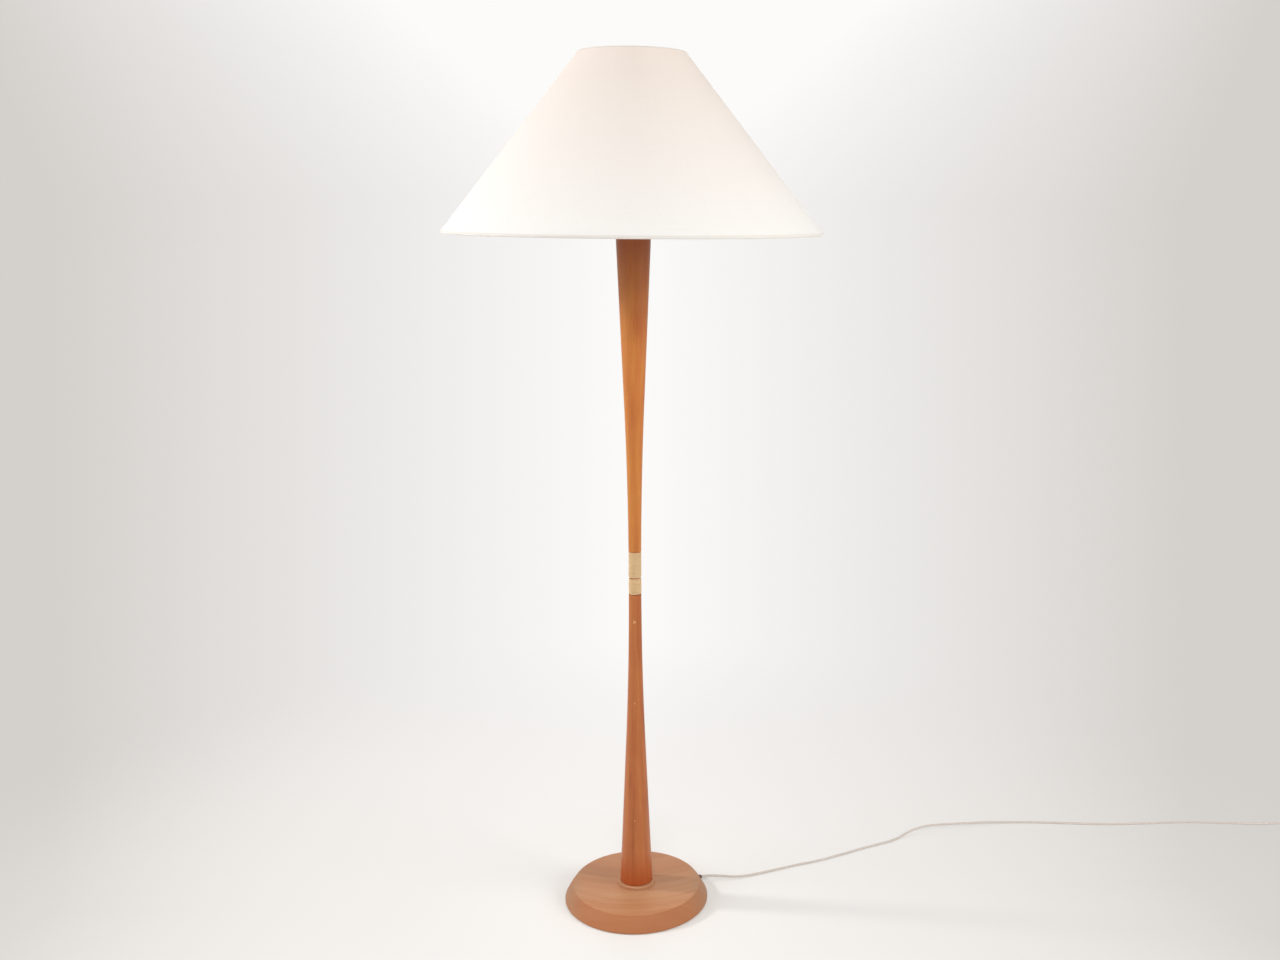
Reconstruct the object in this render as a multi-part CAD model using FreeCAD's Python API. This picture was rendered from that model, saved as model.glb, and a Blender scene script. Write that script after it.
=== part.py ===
import FreeCAD, Part
import math
import os

# A candlestick floor lamp: a turned wooden column, thin at a bound waist and wide at both ends,
# on a bevelled wooden disc, with a wide coolie shade on a harp over a keyed lampholder.
# Millimetres. Z is up, the origin is the centre of the underside, X runs to the right as seen
# from the front, and Y runs to the back.

V = FreeCAD.Vector
UP = V(0, 0, 1)

# ---- clearances ----
running_gap = 0.05       # a shaft in its hole, on the radius
slip_gap = 0.1           # pieces that are slid over each other and stay
rest_gap = 0.2           # flat faces of pieces that turn on each other
bore_gap = 0.2           # the threaded tube in the bored wood

# ---- base ----
base_bottom_radius = 137.7
base_top_radius = 121.1
base_thickness = 29.5
base_edge_height = 2.5   # upright band under the bevel
base_bevel_swell = 0.9   # how far the bevel stands out from a straight line
base_rim_ease = 1.8      # rounding where the bevel meets the top
seat_radius = 35.4       # raised seat that the column stands on
seat_height = 6.5
seat_ease = 1.8
felt_thickness = 1.5
felt_inset = 6.0
recess_rim = 24.4        # wood left round the recess, at the floor
recess_depth = 11.5
weight_rim_gap = 2.0
weight_thickness = 10.0
weight_eye_radius = 22.0
slot_width = 8.0         # for the lead, in the weight
weight_screw_circle = 70.0
weight_screw_count = 3
weight_screw_radius = 2.4
weight_screw_length = 15.0
weight_screw_head_radius = 4.6
weight_screw_head_height = 2.4
screw_slot_width = 1.2
screw_slot_depth = 0.9
nut_pocket_radius = 18.0
nut_pocket_depth = 9.0
rod_washer_radius = 16.0
rod_washer_thickness = 1.5
nut_flats = 14.0
nut_height = 4.0

# ---- threaded tube through the column ----
tube_radius = 5.0
tube_bore = 4.0
tube_end_stick = 1.0     # tube past the nut underneath
coupler_radius = 6.5
coupler_length = 36.0
tube_joint_gap = 1.0     # between the two lengths, inside the coupler

# ---- column, measured from the seam at the waist to each end ----
lower_length = 608.1
upper_length = 621.6
waist_radius = 11.7
end_radius = 31.0
flare_start = 20.0       # the outline leaves the straight waist here
flare_end = 321.0        # and runs straight from here to the end
end_ease = 1.8
strand_diameter = 1.8
strand_spacing = 0.45    # least clear space that the turns are set out with
band_lower = 32.1        # height of the binding under the seam
band_upper = 50.7        # and over it
seam_margin = 0.6        # bare wood on each side of the seam

# ---- neck and harp ----
neck_washer_radius = 16.0
neck_washer_thickness = 2.0
neck_sleeve_radius = 7.0
neck_sleeve_length = 16.0
saddle_length = 98.0
saddle_width = 14.0
saddle_thickness = 2.0
harp_wire_radius = 1.75
harp_foot_half_span = 43.0
harp_half_span = 57.0
harp_foot_drop = 1.0     # wire ends under the saddle
harp_foot_rise = 22.0
harp_hip_rise = 78.0
harp_shoulder_drop = 62.0
harp_crown_half = 32.0
harp_height = 259.5
harp_bend = 34.0
stud_block_radius = 7.0
stud_block_half = 4.0
stud_shoulder_radius = 11.0
stud_shoulder_thickness = 2.0
stud_radius = 3.0
stud_length = 14.2

# ---- lampholder, heights from its foot ----
cap_collar_radius = 8.0
cap_collar_height = 4.5
cap_shoulder_height = 11.0
cap_height = 32.0
cap_wall = 2.2
cap_floor_height = 8.0
cap_top_radius_wall = 1.8
cap_ledge_height = 25.6
cap_ledge_width = 2.7
cap_ledge_thickness = 2.6
holder_radius = 20.0
spigot_wall = 1.0
spigot_height = 5.8
shell_top_radius = 19.2
shell_height = 35.8      # above the joint with the cap
shell_bore = 15.2
insert_height = 14.3
sleeve_wall = 0.5
sleeve_height = 26.0
thread_pitch = 3.63
thread_wave = 0.35
terminal_offset = 11.0
terminal_radius = 1.5
terminal_head_radius = 2.8
terminal_head_height = 2.4
terminal_length = 8.0
contact_width = 6.0
contact_thickness = 0.6
contact_lift = 2.4
contact_foot = 9.0
side_contact_length = 1.3
side_contact_width = 4.0

# ---- switch key, on a shaft towards the front ----
spindle_height = 17.3
spindle_radius = 2.0
rotor_radius = 2.9
rotor_length = 5.0
boss_radius = 5.0
boss_length = 3.0        # past the side of the lampholder
key_gap = 0.5
key_radius = 7.5
key_length = 11.0
key_flutes = 10
key_flute_radius = 1.3
key_cap_thickness = 2.0

# ---- bulb ----
bulb_lift = 0.4          # over the middle contact
bulb_cap_radius = 13.0
bulb_cap_wall = 0.4
bulb_thread_turns = 4
bulb_cap_height = 23.0
bulb_rim_height = 2.6
insulator_radius = 8.0
insulator_height = 3.0
contact_button_radius = 4.6
contact_button_height = 1.2
bulb_radius = 30.0
bulb_centre_rise = 74.0  # centre of the round end over the bulb's foot
bulb_glass_wall = 0.7
bulb_neck_radius = 12.2
stem_flare_height = 2.0
stem_radius = 2.4
stem_height = 30.0
filament_half_span = 11.0
filament_rise = 26.0
filament_radius = 0.4

# ---- finial ----
finial_radius = 8.0
finial_height = 17.0
finial_waist = 4.6
finial_flange = 2.2
finial_skin = 3.6        # solid metal over the end of its bore

# ---- shade, whose outside is a cone ----
shade_bottom_radius = 331.2
shade_top_radius = 91.2
shade_height = 301.7
hem_thickness = 0.5
cloth_thickness = 0.5
liner_thickness = 0.5
hem_radius = 2.8         # outside of the rolled edge
hem_outer_leg = 4.0
hem_inner_leg = 7.0
ring_wire_radius = 1.25
hub_radius = 13.0
hub_thickness = 2.0
spider_rise = 14.4
arm_count = 3
arm_radius = 1.6
arm_flat = 6.0           # level stretch beside the hub
weld_gap = 0.05

# ---- mains lead ----
cord_diameter = 4.6
cord_exit_height = 10.0
cord_exit_angle = 21.5   # degrees from X towards Y
bush_stand = 4.5         # past the face of the bevel
bush_radius = 4.4
bush_tip_radius = 3.1
bush_taper = 4.0
lead_bend = 9.0
lead_end_rise = 1.7      # over the floor of the lampholder's cap, where the cores part
clamp_distance = 62.0
clamp_length = 30.0
clamp_width = 10.0
clamp_thickness = 1.2
clamp_bolt_spread = 10.0
clamp_bolt_radius = 1.5
clamp_bolt_head_radius = 2.8
clamp_bolt_head_height = 2.0
clamp_bolt_length = 5.5
core_radius = 0.9
core_rise = 5.0

# ---- coil, tie and plug, beyond the seen stretch ----
coil_start_x = 1484.0
coil_start_y = 236.0
coil_outer_radius = 32.8
coil_turns = 5.25        # half of them spiral in below, half spiral out above
coil_gap = 0.6
tie_angle = -45.0
tie_width = 5.0
tie_thickness = 0.8
tie_slack = 0.3
tail_run = 27.0
plug_heading = 96.0      # degrees from X towards Y
plug_boot_length = 22.0
plug_boot_tip_radius = 3.4
plug_boot_radius = 5.2
plug_length = 36.0
plug_width = 35.3
plug_back_width = 15.0
plug_thickness = 13.7
plug_front_length = 13.0
plug_ease = 1.6
pin_radius = 2.0
pin_length = 19.0
pin_spacing = 18.6

# The route of the free stretch on the floor, after its first run out of the bush: X, Y and
# height of the cord's middle, chosen by hand. The coil's start ends it.
exit_run = 12.0
floor_z = cord_diameter / 2
route_middle = [
    (173.0, 54.4, 7.8),
    (199.0, 56.4, 4.6),
    (225.0, 64.2, 2.5),
    (251.0, 73.0, floor_z),
    (293.0, 89.0, floor_z),
    (331.0, 103.8, floor_z),
    (367.0, 114.0, floor_z),
    (421.0, 138.5, floor_z),
    (474.0, 165.0, floor_z),
    (518.0, 184.0, floor_z),
    (546.0, 196.5, floor_z),
    (567.0, 212.5, 3.0),
    (586.0, 225.5, 6.8),
    (606.0, 233.5, 10.6),
    (633.0, 239.5, 12.6),
    (669.0, 244.0, 12.0),
    (706.0, 249.8, 10.0),
    (743.0, 257.6, 7.0),
    (780.0, 263.8, 3.9),
    (817.0, 265.6, 2.4),
    (876.0, 262.2, floor_z),
    (937.0, 256.0, floor_z),
    (998.0, 248.4, floor_z),
    (1058.0, 245.6, floor_z),
    (1117.0, 247.2, floor_z),
    (1176.0, 249.2, floor_z),
    (1235.0, 247.0, floor_z),
    (1293.0, 239.6, floor_z),
    (1350.0, 233.4, floor_z),
    (1403.0, 233.0, floor_z),
]
last_run = 30.0

# ---- places that follow from the sizes ----
wood_bottom_z = felt_thickness
base_top_z = wood_bottom_z + base_thickness
foot_z = base_top_z + seat_height
recess_radius = base_bottom_radius - recess_rim
recess_top_z = wood_bottom_z + recess_depth
weight_bottom_z = recess_top_z - weight_thickness
weight_radius = recess_radius - weight_rim_gap
nut_pocket_top_z = recess_top_z + nut_pocket_depth
rod_nut_top_z = nut_pocket_top_z - rod_washer_thickness
tube_bottom_z = rod_nut_top_z - nut_height - tube_end_stick
seam_z = foot_z + lower_length
head_z = seam_z + upper_length
core_radius_wood = waist_radius - strand_diameter - slip_gap
sleeve_z = head_z + neck_washer_thickness
saddle_z = sleeve_z + neck_sleeve_length
neck_nut_z = saddle_z + saddle_thickness
holder_z = neck_nut_z + nut_height
tube_top_z = holder_z + cap_floor_height + tube_end_stick
joint_z = holder_z + cap_height
insert_z = holder_z + cap_ledge_height
insert_top_z = insert_z + insert_height
cap_bore = holder_radius - cap_top_radius_wall
spigot_radius = cap_bore - slip_gap
insert_radius = spigot_radius - spigot_wall - slip_gap
contact_top_z = insert_top_z + contact_lift
bulb_z = contact_top_z + bulb_lift
bulb_cap_z = bulb_z + contact_button_height + insulator_height
bulb_cap_top_z = bulb_cap_z + bulb_cap_height
bulb_centre_z = bulb_z + bulb_centre_rise
sleeve_bore = bulb_cap_radius + 0.4
harp_z = neck_nut_z + harp_height
hub_z = harp_z + stud_block_half + stud_shoulder_thickness + rest_gap
finial_z = hub_z + hub_thickness + rest_gap
shade_slant = math.hypot(shade_bottom_radius - shade_top_radius, shade_height)
slant_in = (shade_bottom_radius - shade_top_radius) / shade_slant
slant_up = shade_height / shade_slant
skin_depth = hem_thickness + cloth_thickness + liner_thickness
ring_depth = skin_depth + rest_gap + ring_wire_radius
ring_top_z = hub_z + hub_thickness / 2 + spider_rise
shade_top_z = ring_top_z + hem_radius * slant_up + ring_depth * slant_in
shade_bottom_z = shade_top_z - shade_height
exit_direction = V(math.cos(math.radians(cord_exit_angle)), math.sin(math.radians(cord_exit_angle)), 0)
coil_pitch = cord_diameter + coil_gap
coil_low_z = cord_diameter / 2 + tie_thickness + slip_gap
coil_high_z = coil_low_z + coil_pitch
coil_centre = V(coil_start_x, coil_start_y + coil_outer_radius, 0)
plug_z = plug_thickness / 2


# ---- makers shared by the pieces ----
def rounded_edges(points, radii, closed):
    """Lines between the points, with a tangent arc of the given radius at each corner."""
    count = len(points)
    starts = []
    ends = []
    arcs = []
    for i in range(count):
        corner = points[i]
        inner = closed or 0 < i < count - 1
        if not inner or radii[i] <= 0:
            starts.append(corner)
            ends.append(corner)
            arcs.append(None)
            continue
        back = (points[i - 1] - corner).normalize()
        ahead = (points[(i + 1) % count] - corner).normalize()
        half_turn = (math.pi - back.getAngle(ahead)) / 2
        reach = radii[i] * math.tan(half_turn)
        depth = radii[i] / math.cos(half_turn) - radii[i]
        first = corner + back * reach
        last = corner + ahead * reach
        middle = corner + (back + ahead).normalize() * depth
        starts.append(first)
        ends.append(last)
        arcs.append(Part.Arc(first, middle, last).toShape())
    edges = []
    for i in range(count):
        if arcs[i] is not None:
            edges.append(arcs[i])
        if i == count - 1 and not closed:
            break
        following = starts[(i + 1) % count]
        if (following - ends[i]).Length > 1e-6:
            edges.append(Part.LineSegment(ends[i], following).toShape())
    return edges


def turned(outline):
    """Solid of revolution about Z from points (radius, height) or (radius, height, rounding)."""
    points = [V(p[0], 0, p[1]) for p in outline]
    radii = [p[2] if len(p) > 2 else 0 for p in outline]
    wire = Part.Wire(rounded_edges(points, radii, True))
    return Part.Face(wire).revolve(V(0, 0, 0), UP, 360)


def rod(radius, low, high, x=0.0, y=0.0):
    return Part.makeCylinder(radius, high - low, V(x, y, low))


def ring(outer, inner, low, high):
    return rod(outer, low, high).cut(rod(inner, low - 1, high + 1))


def rod_along(radius, start, direction, length):
    return Part.makeCylinder(radius, length, start, direction)


def block(length, width, low, high, x=0.0, y=0.0):
    """Box centred on (x, y), its length along X."""
    return Part.makeBox(length, width, high - low, V(x - length / 2, y - width / 2, low))


def hex_nut(bore, low, high):
    corner = nut_flats / 2 / math.cos(math.radians(30))
    points = [V(corner * math.cos(math.radians(60 * i)), corner * math.sin(math.radians(60 * i)), low)
              for i in range(7)]
    body = Part.Face(Part.makePolygon(points)).extrude(V(0, 0, high - low))
    return body.cut(rod(bore, low - 1, high + 1))


def spun(shape, degrees):
    """The shape turned about the lamp's own axis."""
    copy = shape.copy()
    copy.rotate(V(0, 0, 0), UP, degrees)
    return copy


def pipe(edges, radius, start, direction):
    """Round tube along edges that join tangentially."""
    section = Part.Wire([Part.makeCircle(radius, start, direction)])
    return Part.Wire(edges).makePipeShell([section], True, False)


def report_pipe(name, solid, edges, radius):
    length = sum(edge.Length for edge in edges)
    ratio = solid.Volume / (math.pi * radius ** 2 * length)
    print(f"{name}: length {length:.1f} mm, volume over section times length {ratio:.4f}")


def biarc(first, first_way, last, last_way):
    """Two arcs in space from one point to another, tangent to the way given at each."""
    chord = last - first
    along = chord.dot(first_way + last_way)
    bend = 2 * (1 - first_way.dot(last_way))
    reach = (math.sqrt(along ** 2 + bend * chord.dot(chord)) - along) / bend
    knee_one = first + first_way * reach
    knee_two = last - last_way * reach
    joint = (knee_one + knee_two) / 2
    edges = []
    for start, knee, end in ((first, knee_one, joint), (joint, knee_two, last)):
        middle = (start + end) / 2
        lean = (knee - start).getAngle(end - start)
        crown = middle + (knee - middle) * (math.tan(lean / 2) / math.tan(lean))
        edges.append(Part.Arc(start, crown, end).toShape())
    return edges


def least_gap(edges, diameter, skip):
    """Least clear space between stretches of a tube that are over `skip` of length apart."""
    marks = []
    travelled = 0.0
    for edge in edges:
        for point in edge.discretize(5)[:-1]:
            marks.append((travelled, point))
            travelled += edge.Length / 4
    least = 1e9
    for i, (here, point) in enumerate(marks):
        for there, other in marks[i + 1:]:
            if there - here > skip:
                least = min(least, (other - point).Length)
    return least - diameter


def bevel_radius(height):
    """Radius of the base's bevel at a height, without its slight swell."""
    edge_top = wood_bottom_z + base_edge_height
    share = (height - edge_top) / (base_top_z - edge_top)
    return base_bottom_radius + (base_top_radius - base_bottom_radius) * share


def bush_tip():
    """Distance of the bush's mouth from the axis."""
    return bevel_radius(cord_exit_height) + bush_stand


def screw_places():
    """Angles of the weight's screws, clear of the lead's slot."""
    step = 360.0 / weight_screw_count
    return [cord_exit_angle + step * (i + 0.5) for i in range(weight_screw_count)]


def at_angle(distance, degrees):
    return distance * math.cos(math.radians(degrees)), distance * math.sin(math.radians(degrees))


# ---- base ----
def base_disc():
    edge_top = wood_bottom_z + base_edge_height
    middle_z = (edge_top + base_top_z) / 2
    run = math.hypot(base_bottom_radius - base_top_radius, base_top_z - edge_top)
    out = base_bevel_swell * (base_top_z - edge_top) / run
    up = base_bevel_swell * (base_bottom_radius - base_top_radius) / run
    swell_bend = run ** 2 / (16 * base_bevel_swell)
    disc = turned([
        (0, wood_bottom_z),
        (base_bottom_radius, wood_bottom_z),
        (base_bottom_radius, edge_top),
        (bevel_radius(middle_z) + out, middle_z + up, swell_bend),
        (base_top_radius, base_top_z, base_rim_ease),
        (seat_radius, base_top_z),
        (seat_radius, foot_z, seat_ease),
        (0, foot_z),
    ])
    disc = disc.cut(rod(recess_radius, wood_bottom_z - 1, recess_top_z))
    disc = disc.cut(rod(nut_pocket_radius, recess_top_z - 1, nut_pocket_top_z))
    disc = disc.cut(rod(tube_radius + bore_gap, nut_pocket_top_z - 1, foot_z + 1))
    for angle in screw_places():
        x, y = at_angle(weight_screw_circle, angle)
        screw_top = weight_bottom_z + weight_screw_head_height + screw_slot_depth + weight_screw_length
        disc = disc.cut(rod(weight_screw_radius, recess_top_z - 1, screw_top, x, y))
    start = exit_direction * (recess_radius - 10) + V(0, 0, cord_exit_height)
    return disc.cut(rod_along(bush_radius + slip_gap, start, exit_direction, 60))


def base_felt():
    return rod(base_bottom_radius - felt_inset, 0, felt_thickness)


def base_weight():
    """Iron disc with an eye for the nut, a slot for the lead and a pocket for its clamp."""
    weight = ring(weight_radius, weight_eye_radius, weight_bottom_z, recess_top_z)
    slot = block(recess_radius, slot_width, weight_bottom_z - 1, recess_top_z + 1, recess_radius / 2)
    pocket_top = clamp_z() + clamp_thickness
    pocket = block(clamp_width + 2, clamp_length + 2, weight_bottom_z - 1, pocket_top, clamp_distance)
    weight = weight.cut(spun(slot, cord_exit_angle)).cut(spun(pocket, cord_exit_angle))
    for side in (-1, 1):
        bolt_top = clamp_z() + clamp_bolt_length
        hole = rod(clamp_bolt_radius, pocket_top - 1, bolt_top, clamp_distance, side * clamp_bolt_spread)
        weight = weight.cut(spun(hole, cord_exit_angle))
    for angle in screw_places():
        x, y = at_angle(weight_screw_circle, angle)
        head_top = weight_bottom_z + screw_slot_depth + weight_screw_head_height
        weight = weight.cut(rod(weight_screw_radius + bore_gap, weight_bottom_z, recess_top_z + 1, x, y))
        weight = weight.cut(rod(weight_screw_head_radius + bore_gap, weight_bottom_z - 1, head_top, x, y))
    return weight


def slotted_screw(head_radius, head_height, shank_radius, length, low):
    """Screw that points up, its slotted head at the bottom."""
    screw = rod(head_radius, low, low + head_height)
    screw = screw.fuse(rod(shank_radius, low + head_height, low + head_height + length))
    return screw.cut(block(2 * head_radius + 1, screw_slot_width, low - 1, low + screw_slot_depth))


def base_weight_screws():
    screws = []
    for angle in screw_places():
        x, y = at_angle(weight_screw_circle, angle)
        screw = slotted_screw(weight_screw_head_radius, weight_screw_head_height, weight_screw_radius,
                              weight_screw_length, weight_bottom_z + screw_slot_depth)
        screw.translate(V(x, y, 0))
        screws.append(screw)
    return Part.makeCompound(screws)


def rod_washer():
    return ring(rod_washer_radius, tube_radius + slip_gap, rod_nut_top_z, nut_pocket_top_z)


def rod_nut():
    return hex_nut(tube_radius, rod_nut_top_z - nut_height, rod_nut_top_z)


# ---- column ----
def column_half(length, band, side, joint):
    """Half of the column. `side` is 1 above the seam and -1 below it."""
    rise = flare_end - flare_start
    slope = (end_radius - waist_radius) / (rise / 2 + length - flare_end)
    bend = rise / math.sin(math.atan(slope))

    def flare(distance):
        return waist_radius + bend - math.sqrt(bend ** 2 - (distance - flare_start) ** 2)

    def at(radius, distance):
        return V(radius, 0, joint + side * distance)

    middle = (band + flare_end) / 2
    tip = length - end_ease
    tip_radius = flare(flare_end) + slope * (tip - flare_end)
    shoulder = math.sqrt(0.5) * end_ease
    edges = [
        Part.LineSegment(at(0, 0), at(core_radius_wood, 0)),
        Part.LineSegment(at(core_radius_wood, 0), at(core_radius_wood, band)),
        Part.LineSegment(at(core_radius_wood, band), at(flare(band), band)),
        Part.Arc(at(flare(band), band), at(flare(middle), middle), at(flare(flare_end), flare_end)),
        Part.LineSegment(at(flare(flare_end), flare_end), at(tip_radius, tip)),
        Part.Arc(at(tip_radius, tip), at(tip_radius - end_ease + shoulder, tip + shoulder),
                 at(tip_radius - end_ease, length)),
        Part.LineSegment(at(tip_radius - end_ease, length), at(0, length)),
        Part.LineSegment(at(0, length), at(0, 0)),
    ]
    wire = Part.Wire([edge.toShape() for edge in edges])
    half = Part.Face(wire).revolve(V(0, 0, 0), UP, 360)
    ends = sorted((joint - side, joint + side * (length + 1)))
    half = half.cut(rod(tube_radius + bore_gap, ends[0], ends[1]))
    pocket = sorted((joint - side, joint + side * (coupler_length / 2 + slip_gap)))
    return half.cut(rod(coupler_radius + slip_gap, pocket[0], pocket[1]))


def column_lower():
    return column_half(lower_length, band_lower, -1, seam_z)


def column_upper():
    return column_half(upper_length, band_upper, 1, seam_z)


def binding(name, band, side):
    """One strand wound round the waist, from the seam towards the column's end."""
    strand_radius = strand_diameter / 2
    room = band - seam_margin - slip_gap - strand_diameter
    turns = math.floor(room / (strand_diameter + strand_spacing))
    pitch = room / turns
    wind_radius = core_radius_wood + slip_gap + strand_radius
    climb = side * pitch / (2 * math.pi)
    stations = []
    for quarter in range(4 * turns + 1):
        angle = quarter * math.pi / 2
        height = seam_z + side * (seam_margin + strand_radius) + climb * angle
        place = V(wind_radius * math.cos(angle), wind_radius * math.sin(angle), height)
        way = V(-wind_radius * math.sin(angle), wind_radius * math.cos(angle), climb).normalize()
        stations.append((place, way))
    first, first_way = stations[0]
    last, last_way = stations[-1]
    begin = first - first_way * strand_diameter
    edges = [Part.LineSegment(begin, first).toShape()]
    for (here, way), (there, next_way) in zip(stations, stations[1:]):
        edges.extend(biarc(here, way, there, next_way))
    edges.append(Part.LineSegment(last, last + last_way * strand_diameter).toShape())
    solid = pipe(edges, strand_radius, begin, first_way)
    report_pipe(name, solid, edges, strand_radius)
    gap = least_gap(edges, strand_diameter, math.pi * wind_radius)
    print(f"{name}: {turns} turns, least gap to itself {gap:.3f} mm")
    return solid


def binding_lower():
    return binding("binding_lower", band_lower, -1)


def binding_upper():
    return binding("binding_upper", band_upper, 1)


def tube_lower():
    return ring(tube_radius, tube_bore, tube_bottom_z, seam_z - tube_joint_gap / 2)


def tube_upper():
    return ring(tube_radius, tube_bore, seam_z + tube_joint_gap / 2, tube_top_z)


def tube_coupler():
    return ring(coupler_radius, tube_radius, seam_z - coupler_length / 2, seam_z + coupler_length / 2)


# ---- neck and harp ----
def neck_washer():
    return ring(neck_washer_radius, tube_radius + slip_gap, head_z, sleeve_z)


def neck_sleeve():
    return ring(neck_sleeve_radius, tube_radius + slip_gap, sleeve_z, saddle_z)


def neck_nut():
    return hex_nut(tube_radius, neck_nut_z, holder_z)


def harp_saddle():
    straight = saddle_length - saddle_width
    plate = block(straight, saddle_width, saddle_z, neck_nut_z)
    for side in (-1, 1):
        plate = plate.fuse(rod(saddle_width / 2, saddle_z, neck_nut_z, side * straight / 2))
    plate = plate.removeSplitter()
    plate = plate.cut(rod(tube_radius + slip_gap, saddle_z - 1, neck_nut_z + 1))
    for side in (-1, 1):
        hole = rod(harp_wire_radius + weld_gap, saddle_z - 1, neck_nut_z + 1, side * harp_foot_half_span)
        plate = plate.cut(hole)
    return plate


def harp():
    """One wire, bent into a tall loop, its feet through the saddle."""
    half = [
        (harp_foot_half_span, saddle_z - harp_foot_drop),
        (harp_foot_half_span, neck_nut_z + harp_foot_rise),
        (harp_half_span, neck_nut_z + harp_hip_rise),
        (harp_half_span, harp_z - harp_shoulder_drop),
        (harp_crown_half, harp_z),
    ]
    points = [V(-x, 0, z) for x, z in half] + [V(x, 0, z) for x, z in reversed(half)]
    edges = rounded_edges(points, [harp_bend] * len(points), False)
    wire = pipe(edges, harp_wire_radius, points[0], UP)
    report_pipe("harp", wire, edges, harp_wire_radius)
    return wire


def harp_stud():
    """Block on the harp's crown, with the shoulder and the threaded end that the shade sits on."""
    shoulder_z = harp_z + stud_block_half
    shank_z = shoulder_z + stud_shoulder_thickness
    stud = rod(stud_block_radius, harp_z - stud_block_half, shoulder_z)
    stud = stud.fuse(rod(stud_shoulder_radius, shoulder_z, shank_z))
    stud = stud.fuse(rod(stud_radius, shank_z, shank_z + stud_length))
    wire_hole = rod_along(harp_wire_radius, V(-30, 0, harp_z), V(1, 0, 0), 60)
    return stud.cut(wire_hole)


# ---- lampholder ----
def holder_cap():
    """Cup that screws on the tube, with a boss for the switch shaft."""
    outside = turned([
        (0, holder_z),
        (cap_collar_radius, holder_z),
        (cap_collar_radius, holder_z + cap_collar_height, 2.0),
        (holder_radius, holder_z + cap_shoulder_height, 6.0),
        (holder_radius, joint_z),
        (0, joint_z),
    ])
    spindle_z = holder_z + spindle_height
    boss_reach = holder_radius + boss_length
    outside = outside.fuse(rod_along(boss_radius, V(0, 0, spindle_z), V(0, -1, 0), boss_reach))
    ledge_top = holder_z + cap_ledge_height
    ledge_bottom = ledge_top - cap_ledge_thickness
    inner = holder_radius - cap_wall
    inside = turned([
        (0, holder_z + cap_floor_height),
        (cap_collar_radius, holder_z + cap_floor_height),
        (inner, holder_z + cap_shoulder_height + cap_wall, 2.0),
        (inner, ledge_bottom - cap_ledge_width),
        (cap_bore - cap_ledge_width, ledge_bottom),
        (cap_bore - cap_ledge_width, ledge_top),
        (cap_bore, ledge_top),
        (cap_bore, joint_z + 1),
        (0, joint_z + 1),
    ])
    cap = outside.cut(inside)
    cap = cap.cut(rod(tube_radius, holder_z - 1, holder_z + cap_floor_height + 1))
    hole = rod_along(spindle_radius + running_gap, V(0, 0, spindle_z), V(0, -1, 0), boss_reach + 1)
    return cap.cut(hole)


def holder_shell():
    """Outer shell, its spigot in the cap, with a ledge that holds the insert down."""
    spigot_z = joint_z - spigot_height
    top = joint_z + shell_height
    outside = turned([
        (0, spigot_z),
        (spigot_radius, spigot_z),
        (spigot_radius, joint_z),
        (holder_radius, joint_z),
        (holder_radius, joint_z + shell_height / 3, 30.0),
        (shell_top_radius, top, 0.8),
        (0, top),
    ])
    ledge_z = insert_top_z + slip_gap
    outside = outside.cut(rod(insert_radius + slip_gap, spigot_z - 1, ledge_z))
    return outside.cut(rod(shell_bore, ledge_z - 1, top + 1))


def holder_insert():
    insert = rod(insert_radius, insert_z, insert_top_z)
    for side in (-1, 1):
        hole = rod(terminal_radius, insert_z - 1, insert_z + terminal_length, side * terminal_offset)
        insert = insert.cut(hole)
    return insert


def thread_outline(radius, low, turns):
    """Crests and roots of a rounded thread, as points for a turned outline."""
    points = []
    for half in range(2 * turns + 1):
        wave = thread_wave if half % 2 else -thread_wave
        points.append((radius + wave, low + half * thread_pitch / 2, 1.2))
    return points


def holder_sleeve():
    """Brass screw shell for the bulb."""
    turns = bulb_thread_turns
    low = bulb_cap_z + 2
    inner = thread_outline(sleeve_bore, low, turns)
    outer = [(r + sleeve_wall, z, ease) for r, z, ease in inner]
    top = insert_top_z + sleeve_height
    bottom = [(sleeve_bore - thread_wave, insert_top_z), (sleeve_bore - thread_wave + sleeve_wall, insert_top_z)]
    rim = [(sleeve_bore + thread_wave + sleeve_wall, top), (sleeve_bore + thread_wave, top)]
    return turned(bottom + outer + rim + inner[::-1])


def holder_screws():
    screws = []
    for side in (-1, 1):
        low = insert_z - terminal_head_height
        screw = slotted_screw(terminal_head_radius, terminal_head_height, terminal_radius,
                              terminal_length, low)
        screw.translate(V(side * terminal_offset, 0, 0))
        screws.append(screw)
    return Part.makeCompound(screws)


def holder_centre_contact():
    """Springy strip that rises to the middle of the insert."""
    low = insert_top_z
    high = contact_top_z
    points = [
        V(-contact_foot, 0, low),
        V(-contact_foot / 2, 0, low),
        V(0, 0, high - contact_thickness),
        V(contact_width / 2, 0, high - contact_thickness),
        V(contact_width / 2, 0, high),
        V(-0.3, 0, high),
        V(-contact_foot / 2 - 0.3, 0, low + contact_thickness),
        V(-contact_foot, 0, low + contact_thickness),
    ]
    strip = Part.Face(Part.makePolygon(points + points[:1])).extrude(V(0, contact_width, 0))
    strip.translate(V(0, -contact_width / 2, 0))
    return strip


def holder_side_contact():
    inner = sleeve_bore - thread_wave + sleeve_wall + weld_gap
    return block(side_contact_length, side_contact_width, insert_top_z,
                 insert_top_z + contact_thickness, inner + side_contact_length / 2)


# ---- switch ----
def spindle_place(reach):
    return V(0, -reach, holder_z + spindle_height)


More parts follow.
